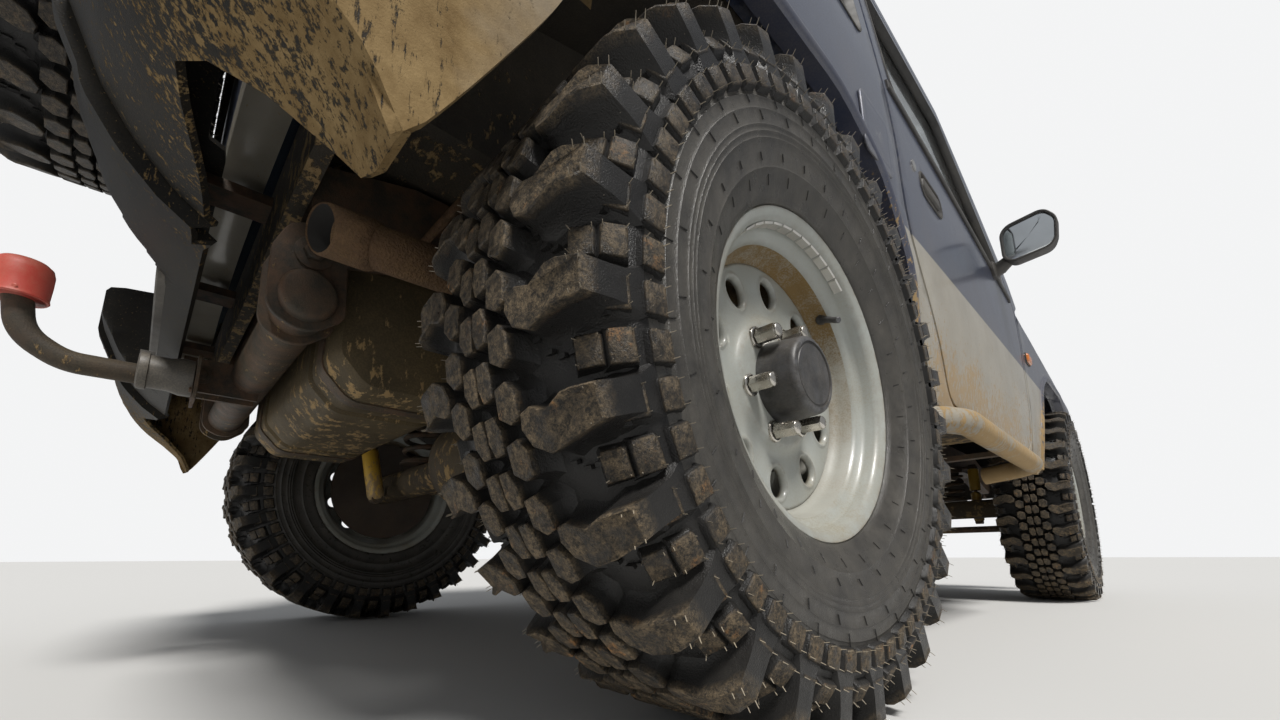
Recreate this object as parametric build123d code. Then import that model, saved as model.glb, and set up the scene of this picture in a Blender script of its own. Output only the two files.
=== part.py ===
from build123d import *
import math
import os

# Three-door off-road car with live axles and a side-hinged tailgate.
# X runs to the car's left, its nose points to -Y, Z is up. The ground is Z = 0.
# Origin: middle of the overall length and width, on the ground. Millimetres and degrees.

# Overall layout
WHEELBASE = 2350.0
FRONT_OVERHANG = 720.0
WHEEL_TRACK = 1520.0
BODY_HALF_WIDTH = 850.0
OUTSIDE_X = BODY_HALF_WIDTH + 50.0
WALL = 60.0
CLEARANCE = 0.3

# Tyre: two staggered rings of lugs on a faceted carcass
LUG_COUNT = 29
LUG_TIP_RADIUS = 410.0
LUG_FLAT_X = 106.0
LUG_START_X = 5.0
TREAD_HALF_WIDTH = 128.0
SHOULDER_TIP_RADIUS = 404.0
SHOULDER_ROOT_RADIUS = 362.0
CENTRE_ROOT_RADIUS = 391.0
BEAD_RADIUS = 209.0
BEAD_HALF_WIDTH = 98.0

# Wheel: steel rim with a holed disc, hub cap and nuts
RIM_SIDES = 16
RIM_RADIUS = 208.0
LIP_HALF_WIDTH = 96.0
DISC_FACE_X = 36.0
DISC_WALL = 9.0
DISC_RADIUS = 168.0
HOLE_COUNT = 10
HOLE_SIDES = 6
HOLE_RING_RADIUS = 138.0
HOLE_LENGTH = 44.0
HOLE_WIDTH = 30.0
HUB_CAP_RADIUS = 58.0
HUB_CAP_HEIGHT = 34.0

# Body heights
SILL_Z = 500.0
FLOOR_Z = 620.0
FLOOR_WALL = 30.0
REAR_FLOOR_Z = 730.0
BELT_Z = 1150.0
BELT_SLOPE = 0.12
ROOF_EDGE_Z = 1700.0
ROOF_CROWN = 55.0
ROOF_WALL = 35.0
ROOF_HALF_WIDTH = 770.0

# Body stations along Y, measured from the rear axle
TAILGATE_FACE = 560.0
TAILGATE_HALF_WIDTH = 640.0
DOOR_REAR = -450.0
DOOR_FRONT = 760.0 - WHEELBASE
COWL_FRONT = DOOR_FRONT - 110.0
PAN_STEP = -600.0
TAIL_SILL = 494.0
NOSE = -635.0 - WHEELBASE
GRILLE_BACK = NOSE + 60.0
DOOR_GAP = 8.0
DOOR_REAR_GAP = 14.0
PANEL_GAP = 6.0

# Wheel arches
ARCH_TOP_Z = 965.0
ARCH_HALF_LENGTH = 505.0
ARCH_END = 350.0
BUMPER_TOP = 745.0
TUB_WALL = 20.0
TUB_INNER_X = 560.0

# Chassis
RAIL_INNER_X = 355.0
RAIL_WIDTH = 70.0
RAIL_DEPTH = 110.0
RAIL_LOW_Z = 480.0
RAIL_AXLE_Z = 610.0
AXLE_TUBE_RADIUS = 45.0
DIFF_RADIUS = 115.0
DRUM_RADIUS = 125.0
GEARBOX_Z = 500.0
ARM_X = 333.0
ARM_RADIUS = 20.0
SHOCK_X = 470.0
SHOCK_RADIUS = 24.0
SHOCK_Y = 90.0
KINGPIN_X = 660.0
KINGPIN_RADIUS = 22.0
YOKE_WIDTH = 64.0
STEER_ARM_X = 40.0
STEER_ARM_Y = 190.0
STEER_DROP = 80.0
ROD_RADIUS = 14.0
SPRING_X = 390.0
SPRING_RADIUS = 55.0
SPRING_TURNS = 3

# Bonnet
BONNET_HALF_WIDTH = 620.0
BONNET_WALL = 30.0
BONNET_REAR_Z = 1110.0
BONNET_FRONT_Z = 1030.0

# Tow ball
BALL_RADIUS = 25.0

# Hinges: a barrel in the panel gap, on the outer skin's line
DOOR_HINGE_Z = (720.0, 960.0)
TAILGATE_HINGE_Z = (880.0, 1120.0)
BONNET_HINGE_X = 400.0
HINGE_LENGTH = 60.0

# Fuel flap
FLAP_WALL = 3.7
FLAP_Y = -385.0
FLAP_Z = 900.0
FLAP_LENGTH = 130.0

# Inside
SEAT_Y = PAN_STEP - 100.0
SEAT_X = 380.0
STEER_Y = COWL_FRONT + 430.0
STEER_Z = 1090.0
STEER_TILT = 25.0
COLUMN_RADIUS = 20.0

# Spare wheel on the tailgate
SPARE_Z = 1230.0
SPARE_GAP = 20.0

# Positions that follow from the sizes above
REAR_REACH = TAILGATE_FACE + SPARE_GAP + 2 * TREAD_HALF_WIDTH
LENGTH = FRONT_OVERHANG + WHEELBASE + REAR_REACH
FRONT_AXLE = -WHEELBASE
REAR_AXLE_Y = LENGTH / 2 - REAR_REACH
AXLE_Z = LUG_TIP_RADIUS * math.cos(math.pi / (2 * LUG_COUNT))
WHEEL_X = WHEEL_TRACK / 2
FLOOR_TOP = FLOOR_Z + FLOOR_WALL
RAIL_OUTER_X = RAIL_INNER_X + RAIL_WIDTH
RAIL_TOP_LOW = RAIL_LOW_Z + RAIL_DEPTH
DISC_BACK_X = DISC_FACE_X - DISC_WALL
BONNET_HINGE_Z = BONNET_REAR_Z - 14
LAMP_X = BONNET_HALF_WIDTH + 35
GEARBOX_END = FRONT_AXLE + 1050


def at(y):
    """Y in the part's frame of a station measured from the rear axle."""
    return REAR_AXLE_Y + y


def belt(y):
    """Height of the window line at a station."""
    return BELT_Z + BELT_SLOPE * (y + 1000.0) - 2.0


def box(x0, x1, y0, y1, z0, z1):
    """Block between two corners; y is measured from the rear axle."""
    size = Box(abs(x1 - x0), abs(y1 - y0), abs(z1 - z0))
    return Pos((x0 + x1) / 2, at((y0 + y1) / 2), (z0 + z1) / 2) * size


def prism(corners, direction):
    """Closed outline of 3-D corners, extruded along a vector."""
    return Solid.extrude(Face(Wire.make_polygon(corners, close=True)), Vector(*direction))


def side_prism(outline, x0, x1):
    """Side-view outline of (y, z) corners, extruded across from x0 to x1."""
    return prism([(x0, at(y), z) for y, z in outline], (x1 - x0, 0, 0))


def front_prism(outline, y0, y1):
    """Front-view outline of (x, z) corners, extruded from station y0 to y1."""
    return prism([(x, at(y0), z) for x, z in outline], (0, y1 - y0, 0))


def plan_prism(outline, z0, z1):
    """Plan-view outline of (x, y) corners, extruded from z0 to z1."""
    return prism([(x, at(y), z0) for x, y in outline], (0, 0, z1 - z0))


def mirrored(outline):
    """Outline of (x, second) corners on one side, closed by its mirror image."""
    return outline + [(-x, v) for x, v in reversed(outline)]


def other_side(shape):
    """The same shape on the other side of the car."""
    return mirror(shape, about=Plane.YZ)


def both_sides(shape):
    """A shape and its mirror image, as two solids of one node."""
    return Compound(shape.solids() + other_side(shape).solids())


def faceted(rings):
    """Solid between matching rings of corners, each side a flat four-cornered face."""
    faces = [Face(Wire.make_polygon(rings[0], close=True)), Face(Wire.make_polygon(rings[-1], close=True))]
    for low, high in zip(rings, rings[1:]):
        for k in range(len(low)):
            corners = [low[k - 1], low[k], high[k], high[k - 1]]
            faces.append(Face(Wire.make_polygon(corners, close=True)))
    return Solid(Shell(faces))


def turns(sides, phase=0.0):
    """Angles of a regular polygon's corners; phase is a share of one side."""
    return [2 * math.pi * (k + phase) / sides for k in range(sides)]


def ring_solid(sections, sides):
    """Faceted turned shape about the X axis through (x, radius) sections."""
    rings = [[(x, r * math.cos(a), r * math.sin(a)) for a in turns(sides)] for x, r in sections]
    return faceted(rings)


def upright_ring_solid(x, y, sections, sides):
    """Faceted turned shape about an upright axis through (z, radius) sections."""
    rings = []
    for z, r in sections:
        rings.append([(x + r * math.cos(a), at(y) + r * math.sin(a), z) for a in turns(sides)])
    return faceted(rings)


def pipe(points, radius, sides=8):
    """Faceted pipe with mitred bends along (x, y, z) points, y from the rear axle."""
    path = Polyline([(x, at(y), z) for x, y, z in points])
    start = Plane(origin=path @ 0, z_dir=path % 0)
    return sweep(start * RegularPolygon(radius, sides), path=path, transition=Transition.RIGHT)


def rod(start, end, radius, sides=8):
    """Straight faceted rod between two points, y from the rear axle."""
    return pipe([start, end], radius, sides)


def strut(x, y0, z0, y1, z1, radius, sides=8):
    """Faceted rod along the car with upright end faces."""
    rings = []
    for y, z in ((y0, z0), (y1, z1)):
        corners = [(x + radius * math.cos(a), at(y), z + radius * math.sin(a)) for a in turns(sides, 0.5)]
        rings.append(corners)
    return faceted(rings)


def post(x, y, z0, z1, radius, sides=8):
    """Faceted upright post."""
    return Pos(x, at(y), z0) * extrude(RegularPolygon(radius, sides), z1 - z0)


def tyre():
    """Tyre about the X axis, outer side at +X, as radial slices with a lug on each half in turn."""
    profile = [
        (-BEAD_HALF_WIDTH, BEAD_RADIUS),
        (-TREAD_HALF_WIDTH, SHOULDER_ROOT_RADIUS),
        (-LUG_START_X, CENTRE_ROOT_RADIUS),
        (LUG_START_X, CENTRE_ROOT_RADIUS),
        (LUG_START_X, LUG_TIP_RADIUS),
        (LUG_FLAT_X, SHOULDER_TIP_RADIUS),
        (TREAD_HALF_WIDTH, SHOULDER_ROOT_RADIUS),
        (BEAD_HALF_WIDTH, BEAD_RADIUS),
    ]
    step = math.pi / LUG_COUNT
    slices = []
    for k in range(2 * LUG_COUNT):
        side = 1 if k % 2 else -1
        ends = []
        for edge in (k - 0.5, k + 0.5):
            angle = edge * step - math.pi / 2
            across, up = math.cos(angle), math.sin(angle)
            ends.append([(side * x, r * across, r * up) for x, r in profile])
        slices.append(faceted(ends))
    return slices[0].fuse(*slices[1:]).clean().solids()[0]


def disc_hole(turn):
    """Cutter for one long hole through the wheel disc, its length along the radius."""
    corners = []
    for j in range(HOLE_SIDES):
        a = 2 * math.pi * j / HOLE_SIDES
        radial = HOLE_RING_RADIUS + HOLE_LENGTH / 2 * math.cos(a)
        sideways = HOLE_WIDTH / 2 * math.sin(a) / math.sin(math.pi / 3)
        y = radial * math.cos(turn) - sideways * math.sin(turn)
        z = radial * math.sin(turn) + sideways * math.cos(turn)
        corners.append((DISC_BACK_X - DISC_WALL, y, z))
    return prism(corners, (3 * DISC_WALL, 0, 0))


def rim():
    """Steel wheel about the X axis, outer side at +X: barrel, holed disc and hub cap."""
    body = ring_solid([(-LIP_HALF_WIDTH, RIM_RADIUS), (LIP_HALF_WIDTH, RIM_RADIUS)], RIM_SIDES)
    dish = [(DISC_FACE_X, DISC_RADIUS), (LIP_HALF_WIDTH, 199.0)]
    hollow = [(-LIP_HALF_WIDTH, 196.0), (DISC_BACK_X, DISC_RADIUS)]
    holes = [disc_hole(2 * math.pi * (k + 0.5) / HOLE_COUNT) for k in range(HOLE_COUNT)]
    body = body - ring_solid(dish, RIM_SIDES) - ring_solid(hollow, RIM_SIDES) - holes
    cap = ring_solid([(DISC_FACE_X, HUB_CAP_RADIUS), (DISC_FACE_X + HUB_CAP_HEIGHT, HUB_CAP_RADIUS - 6)], 12)
    return body.fuse(cap).solids()[0]


def place_wheel(shape, side, y):
    """A wheel piece on its axle; side is 1 for left and -1 for right."""
    turned = shape if side > 0 else Rot(0, 0, 180) * shape
    return Pos(side * WHEEL_X, at(y), AXLE_Z) * turned


# Side-view outlines, (y, z)
DOOR = [
    (DOOR_FRONT, 540),
    (DOOR_REAR - 230, 520),
    (DOOR_REAR - 5, 850),
    (DOOR_REAR, belt(DOOR_REAR)),
    (DOOR_REAR - 35, 1648),
    (DOOR_FRONT + 425, 1655),
    (DOOR_FRONT + 45, belt(DOOR_FRONT + 45) + 25),
    (DOOR_FRONT, belt(DOOR_FRONT) - 25),
]
DOOR_OPENING = [
    (DOOR_FRONT - DOOR_GAP, 540 - DOOR_GAP),
    (DOOR_REAR - 225, 520 - DOOR_GAP),
    (DOOR_REAR - 5 + DOOR_REAR_GAP, 850 - 6),
    (DOOR_REAR + DOOR_REAR_GAP, belt(DOOR_REAR)),
    (DOOR_REAR - 35 + DOOR_REAR_GAP, 1648 + DOOR_GAP),
    (DOOR_FRONT + 420, 1655 + DOOR_GAP),
    (DOOR_FRONT + 45 - DOOR_GAP, belt(DOOR_FRONT + 45) + 30),
    (DOOR_FRONT - DOOR_GAP, belt(DOOR_FRONT) - 20),
]
DOOR_WINDOW = [
    (DOOR_FRONT + 95, belt(DOOR_FRONT + 95) + 15),
    (DOOR_REAR - 65, belt(DOOR_REAR - 65) + 15),
    (DOOR_REAR - 90, 1600),
    (DOOR_FRONT + 450, 1605),
]
QUARTER_WINDOW = [
    (-375, belt(-375) + 30),
    (390, belt(-375) + 60),
    (330, 1590),
    (-395, 1600),
]
SIDE_BODY = [
    (DOOR_FRONT - 30, SILL_Z),
    (DOOR_REAR - 110, SILL_Z),
    (DOOR_REAR - 30, 640),
    (0, 640),
    (0, BUMPER_TOP + PANEL_GAP),
    (TAILGATE_FACE, BUMPER_TOP + PANEL_GAP),
    (TAILGATE_FACE, ROOF_EDGE_Z),
    (DOOR_FRONT + 375, ROOF_EDGE_Z),
    (DOOR_FRONT - 90, belt(DOOR_FRONT) + 20),
    (DOOR_FRONT - 30, belt(DOOR_FRONT) - 15),
]
REAR_ARCH = [
    (-ARCH_HALF_LENGTH + 15, 400),
    (-430, 760),
    (-330, 900),
    (-170, ARCH_TOP_Z),
    (170, ARCH_TOP_Z),
    (290, 890),
    (ARCH_END, BUMPER_TOP + PANEL_GAP),
    (ARCH_END, 400),
]
FRONT_ARCH = [
    (FRONT_AXLE - ARCH_HALF_LENGTH, 400),
    (FRONT_AXLE - 490, 640),
    (FRONT_AXLE - 400, 830),
    (FRONT_AXLE - 220, 935),
    (FRONT_AXLE + 200, 935),
    (FRONT_AXLE + 400, 850),
    (FRONT_AXLE + 540, 640),
    (FRONT_AXLE + 640, 400),
]

# Cross-section of the body wall, (x, z): outer line up, inner line down
WALL_LINE = [
    (BODY_HALF_WIDTH - 20, SILL_Z - 20),
    (BODY_HALF_WIDTH, 660),
    (BODY_HALF_WIDTH, 1000),
    (BODY_HALF_WIDTH - 12, 1190),
    (ROOF_HALF_WIDTH, ROOF_EDGE_Z),
]
WALL_SECTION = WALL_LINE + [(x - WALL, z) for x, z in reversed(WALL_LINE)]
GLASS_DEPTH = 22.0
GLASS_WALL = 6.0
GLASS_SECTION = [(x - GLASS_DEPTH, z) for x, z in WALL_LINE]
GLASS_SECTION = GLASS_SECTION + [(x - GLASS_WALL, z) for x, z in reversed(GLASS_SECTION)]


def wall_band(y0, y1):
    """The car's left side wall between two stations, before any opening."""
    return front_prism(WALL_SECTION, y0, y1)


def glass_pane(outline):
    """A side window's glass within its hole in the wall."""
    pane = front_prism(GLASS_SECTION, COWL_FRONT, TAILGATE_FACE)
    return pane & side_prism(outline, 0, OUTSIDE_X)


def side_panel():
    """Body side behind and around the door: sill, pillars, quarter and roof edge."""
    panel = wall_band(COWL_FRONT, TAILGATE_FACE) & side_prism(SIDE_BODY, 0, OUTSIDE_X)
    for hole in (DOOR_OPENING, QUARTER_WINDOW, REAR_ARCH):
        panel = panel - side_prism(hole, 0, OUTSIDE_X)
    top = ROOF_EDGE_Z + 12 - ROOF_WALL - 1
    corner = [
        (TAILGATE_HALF_WIDTH + PANEL_GAP, BUMPER_TOP + PANEL_GAP),
        (BODY_HALF_WIDTH - 30, BUMPER_TOP + PANEL_GAP),
        (BODY_HALF_WIDTH - 30, 1190),
        (ROOF_HALF_WIDTH - 30, top),
        (TAILGATE_HALF_WIDTH - 70 + PANEL_GAP, top),
        (TAILGATE_HALF_WIDTH + PANEL_GAP, 1190),
    ]
    panel = panel + front_prism(corner, TAILGATE_FACE - WALL, TAILGATE_FACE)
    for z in DOOR_HINGE_Z:
        y = DOOR_FRONT - DOOR_GAP / 2
        barrel = post(BODY_HALF_WIDTH, y, z, z + HINGE_LENGTH, DOOR_GAP / 2 - CLEARANCE, 6)
        panel = panel + barrel + box(BODY_HALF_WIDTH - 4, BODY_HALF_WIDTH, y - 5, y, z, z + HINGE_LENGTH)
    return panel


def tailgate_hinges():
    """Hinge barrels on the right rear corner."""
    x = TAILGATE_HALF_WIDTH + PANEL_GAP / 2
    found = []
    for z in TAILGATE_HINGE_Z:
        barrel = post(-x, TAILGATE_FACE, z, z + HINGE_LENGTH, PANEL_GAP / 2 - CLEARANCE, 6)
        tab = box(-x - PANEL_GAP / 2 - 1, -x, TAILGATE_FACE - 4, TAILGATE_FACE, z, z + HINGE_LENGTH)
        found = found + [barrel, tab]
    return found


def side_panels():
    """Both body sides, the right one with the tailgate's hinges."""
    left = side_panel()
    right = other_side(left)
    for piece in tailgate_hinges():
        right = right + piece
    return Compound([left.solids()[0], right.solids()[0]])


def door():
    """Left door: full-thickness shell with its window frame."""
    panel = wall_band(COWL_FRONT, TAILGATE_FACE) & side_prism(DOOR, 0, OUTSIDE_X)
    return panel - side_prism(DOOR_WINDOW, 0, OUTSIDE_X)


def mirror_head():
    """Left door mirror: arm foot on the door skin and a five-sided head."""
    y = DOOR_FRONT + 290
    z = belt(y) - 45
    foot = box(BODY_HALF_WIDTH - 8, BODY_HALF_WIDTH + 40, y - 30, y + 30, z, z + 50)
    head = [(BODY_HALF_WIDTH + 30, z + 10), (BODY_HALF_WIDTH + 170, z + 30), (BODY_HALF_WIDTH + 180, z + 120)]
    head = head + [(BODY_HALF_WIDTH + 150, z + 165), (BODY_HALF_WIDTH + 30, z + 150)]
    return (foot - wall_band(y - 60, y + 60)) + front_prism(head, y - 45, y + 15)


def rail():
    """Left chassis rail, kicked up over both axles."""
    low, high = RAIL_LOW_Z, RAIL_AXLE_Z
    line = [(NOSE + 35, high - 70), (NOSE + 285, high), (FRONT_AXLE + 350, high), (FRONT_AXLE + 570, low)]
    line = line + [(-580, low), (-330, high), (350, high), (TAIL_SILL - TUB_WALL - 1, high - 30)]
    outline = line + [(y, z + RAIL_DEPTH) for y, z in reversed(line)]
    return side_prism(outline, RAIL_INNER_X, RAIL_OUTER_X)


def crossmembers():
    """Bars between the rails: (station, length along Y, lowest z, height)."""
    y = FRONT_AXLE
    rows = [(y - 450, 60, 600, 70), (y + 850, 90, 430, 62), (y + 1200, 80, 435, 55)]
    rows = rows + [(-450, 60, 560, 70), (440, 50, 600, 80)]
    bars = []
    for y, length, z, height in rows:
        bars.append(box(-RAIL_INNER_X, RAIL_INNER_X, y - length / 2, y + length / 2, z, z + height))
    pad = box(-60, 60, FRONT_AXLE + 820, FRONT_AXLE + 880, 491, GEARBOX_Z - CLEARANCE)
    bars[1] = (bars[1] + pad).solids()[0]
    return Compound([b.solids()[0] for b in bars])


def floor():
    """Cabin floor, stepped up over the rear axle, with bulkhead, wheel tubs and body mounts."""
    half = BODY_HALF_WIDTH - WALL - 10
    pan_front, tub = COWL_FRONT, ARCH_HALF_LENGTH + TUB_WALL
    pan = box(-half, half, pan_front, PAN_STEP, FLOOR_Z, FLOOR_TOP)
    pan = pan + box(-half, half, PAN_STEP - TUB_WALL, PAN_STEP, FLOOR_Z, REAR_FLOOR_Z + FLOOR_WALL)
    rear = mirrored([(half, PAN_STEP - 1), (half, -tub), (TUB_INNER_X, -tub), (TUB_INNER_X, TAIL_SILL)])
    pan = pan + plan_prism(rear, REAR_FLOOR_Z, REAR_FLOOR_Z + FLOOR_WALL)
    pan = pan + box(-half + 15, half - 15, pan_front, pan_front + FLOOR_WALL, FLOOR_Z, BONNET_REAR_Z - 62)
    outer = [(-tub, 560), (-tub, 800), (-360, 950), (-170, 1000), (170, 1000), (360, 950)]
    outer = outer + [(TAIL_SILL, 800), (TAIL_SILL, 620)]
    inner = [(-tub + TUB_WALL, 550), (-tub + TUB_WALL, 790), (-348, 930), (-165, 980), (165, 980), (348, 930)]
    inner = inner + [(TAIL_SILL - TUB_WALL, 790), (TAIL_SILL - TUB_WALL, 550)]
    reach = BODY_HALF_WIDTH
    skin = side_prism(outer, TUB_INNER_X, reach) - side_prism(inner, TUB_INNER_X + TUB_WALL, reach + 1)
    y0, y1 = -tub + TUB_WALL, TAIL_SILL - TUB_WALL
    skin = skin - box(TUB_INNER_X - 1, TUB_INNER_X + TUB_WALL + 1, y0, y1, 500, 700)
    limit = [(x - WALL - CLEARANCE, z) for x, z in WALL_LINE]
    skin = skin & front_prism([(0, SILL_Z - 20)] + limit + [(0, ROOF_EDGE_Z)], -700, TAILGATE_FACE)
    sill = box(-half + 25, half - 25, TAIL_SILL - TUB_WALL, TAIL_SILL, 640, 750)
    pan = pan + skin + other_side(skin) + sill
    mounts = []
    front, rear = (RAIL_TOP_LOW, FLOOR_Z), (RAIL_AXLE_Z + RAIL_DEPTH, REAR_FLOOR_Z)
    for y, (z0, z1) in ((pan_front + 200, front), (PAN_STEP - 150, front), (250, rear)):
        mount = post(RAIL_INNER_X + RAIL_WIDTH / 2, y, z0, z1, 32)
        mounts = mounts + [mount, other_side(mount)]
    return pan.fuse(*mounts).solids()[0]


def roof():
    """Crowned roof panel between the side panels."""
    half = ROOF_HALF_WIDTH - WALL - CLEARANCE
    top, edge = ROOF_EDGE_Z + ROOF_CROWN, ROOF_EDGE_Z + 12
    crown = [(half, edge), (half * 0.72, top - 14), (half * 0.35, top)]
    over = mirrored(crown)
    under = [(x, z - ROOF_WALL) for x, z in reversed(over)]
    return front_prism(over + under, DOOR_FRONT + 355, TAILGATE_FACE)


def cowl():
    """Windscreen base between the bonnet and the glass, and the rail over the glass."""
    half = BODY_HALF_WIDTH - WALL - 12
    low = BONNET_REAR_Z - 62 + CLEARANCE
    base = [(COWL_FRONT, low), (COWL_FRONT + 110, low), (COWL_FRONT + 110, 1120), (COWL_FRONT + 70, 1120)]
    base.append((COWL_FRONT, BONNET_REAR_Z - 5))
    shape = side_prism(base, -half, half)
    y = COWL_FRONT - PANEL_GAP / 2
    for x in (-BONNET_HINGE_X, BONNET_HINGE_X):
        radius = PANEL_GAP / 2 - CLEARANCE
        barrel = ring_solid([(-HINGE_LENGTH / 2, radius), (HINGE_LENGTH / 2, radius)], 8)
        low = BONNET_HINGE_Z - 2
        tab = box(x - HINGE_LENGTH / 2, x + HINGE_LENGTH / 2, y, COWL_FRONT + 1, low, BONNET_HINGE_Z)
        shape = shape + Pos(x, at(y), BONNET_HINGE_Z) * barrel + tab
    return shape


def windscreen():
    """Flat raked windscreen between the pillars."""
    half = BODY_HALF_WIDTH - WALL - 10
    low = (COWL_FRONT + 80, 1120 + CLEARANCE)
    high = (DOOR_FRONT + 340, 1700)
    outline = [low, (low[0] + 10, low[1]), (high[0] + 6, high[1]), (high[0] - 4, high[1])]
    top_half = ROOF_HALF_WIDTH - WALL - 10
    section = [(half - 20, 1100), (half - 20, 1190), (top_half, 1720)]
    return side_prism(outline, -half, half) & front_prism(mirrored(section), COWL_FRONT, high[0] + 50)


def fixed_glass():
    """Windscreen and the two quarter windows."""
    quarter = glass_pane([(y, z) for y, z in QUARTER_WINDOW])
    return Compound(windscreen().solids() + quarter.solids() + other_side(quarter).solids())


def front_wing():
    """Left front wing from the door to the headlamp, with its arch."""
    rear = DOOR_FRONT - 30 - PANEL_GAP
    top = [(NOSE, 690), (NOSE, 960), (NOSE + 85, 1015), (FRONT_AXLE + 50, 1060)]
    top = top + [(rear, belt(rear) - 25), (rear, SILL_Z)]
    outline = top + [(FRONT_AXLE + 600, SILL_Z - 30), (FRONT_AXLE - 470, 690)]
    inner = BONNET_HALF_WIDTH + PANEL_GAP
    skin = side_prism(outline, inner, BODY_HALF_WIDTH)
    skin = skin - side_prism(FRONT_ARCH, inner - 5, BODY_HALF_WIDTH + 5)
    keep = [(inner - 1, 400), (BODY_HALF_WIDTH - 20, 400), (BODY_HALF_WIDTH, 660), (BODY_HALF_WIDTH, 980)]
    keep = keep + [(BODY_HALF_WIDTH - 40, 1120), (inner - 1, 1140)]
    lamp = box(LAMP_X, OUTSIDE_X, NOSE - 10, NOSE + 60, 790, 945)
    behind = box(inner - 5, BODY_HALF_WIDTH - WALL, COWL_FRONT - CLEARANCE, DOOR_FRONT + 90, 400, 1200)
    return (skin & front_prism(keep, NOSE - 115, DOOR_FRONT + 90)) - lamp - behind


def headlamp():
    """Left headlamp block in its wing pocket."""
    gap = CLEARANCE
    y0 = NOSE - 5
    return box(LAMP_X + gap, BODY_HALF_WIDTH - 50, y0, NOSE + 60 - gap, 790 + gap, 945 - gap)


def tail_lamp():
    """Left tail lamp on the rear body corner above the bumper."""
    x0 = TAILGATE_HALF_WIDTH + 35
    return box(x0, x0 + 110, TAILGATE_FACE + CLEARANCE, TAILGATE_FACE + 24, 800, 1010)


def lamps():
    """Head and tail lamps."""
    pieces = [headlamp(), other_side(headlamp()), tail_lamp(), other_side(tail_lamp())]
    return Compound([p.solids()[0] for p in pieces])


def grille():
    """Front panel with bars between the wings."""
    half = BONNET_HALF_WIDTH + PANEL_GAP - CLEARANCE
    panel = box(-half, half, NOSE + 5, GRILLE_BACK, 690, 950)
    slots = [box(-430, 430, NOSE, GRILLE_BACK + 5, z, z + 26) for z in (760, 806, 852, 898)]
    return panel - slots


def bonnet():
    """Bonnet: crowned panel, hinged at its rear edge."""
    y0, y1 = NOSE + 15, COWL_FRONT - PANEL_GAP
    rear = [(x, at(y1), z) for x, z in bonnet_section(BONNET_REAR_Z - 12)]
    front = [(x, at(y0), z) for x, z in bonnet_section(BONNET_FRONT_Z - 12)]
    return faceted([rear, front])


def bonnet_section(top):
    """Closed (x, z) section of the bonnet under a given height."""
    half = BONNET_HALF_WIDTH
    over = mirrored([(half, top - 30), (half * 0.85, top - 6), (half * 0.5, top)])
    return over + [(x, z - BONNET_WALL) for x, z in reversed(over)]


def tailgate():
    """Side-hinged tailgate with its window hole."""
    low, high = TAILGATE_HALF_WIDTH, TAILGATE_HALF_WIDTH - 70
    outline = mirrored([(low, 756), (low, 1190), (high, ROOF_EDGE_Z - 45)])
    window = mirrored([(low - 90, 1200), (high - 80, ROOF_EDGE_Z - 120)])
    panel = front_prism(outline, TAILGATE_FACE - WALL + 5, TAILGATE_FACE)
    return panel - front_prism(window, TAILGATE_FACE - WALL, TAILGATE_FACE + 5)


def tailgate_glass():
    """Tailgate window."""
    low, high = TAILGATE_HALF_WIDTH, TAILGATE_HALF_WIDTH - 70
    top = ROOF_EDGE_Z - 120 - CLEARANCE
    window = mirrored([(low - 90 - CLEARANCE, 1200 + CLEARANCE), (high - 80 - CLEARANCE, top)])
    y = TAILGATE_FACE - GLASS_DEPTH
    return front_prism(window, y - GLASS_WALL, y)


def spare_carrier():
    """Bracket that carries the spare wheel off the tailgate skin."""
    reach = SPARE_GAP + TREAD_HALF_WIDTH + DISC_BACK_X - CLEARANCE
    y = TAILGATE_FACE + CLEARANCE
    plate = box(-150, 150, y, y + 12, SPARE_Z - 190, SPARE_Z - 60)
    arm = box(-75, 75, y, TAILGATE_FACE + reach, SPARE_Z - 75, SPARE_Z + 60)
    return plate + arm


def place_spare(shape):
    """A wheel piece on the tailgate, its outer side facing back."""
    y = TAILGATE_FACE + SPARE_GAP + TREAD_HALF_WIDTH
    return Pos(0, at(y), SPARE_Z) * Rot(0, 0, 90) * shape


def fuel_flap():
    """Round-cornered fuel door on the right quarter panel."""
    x = -(BODY_HALF_WIDTH + FLAP_WALL + CLEARANCE)
    return box(x, x + FLAP_WALL, FLAP_Y, FLAP_Y + FLAP_LENGTH, FLAP_Z, FLAP_Z + FLAP_LENGTH)


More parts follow.
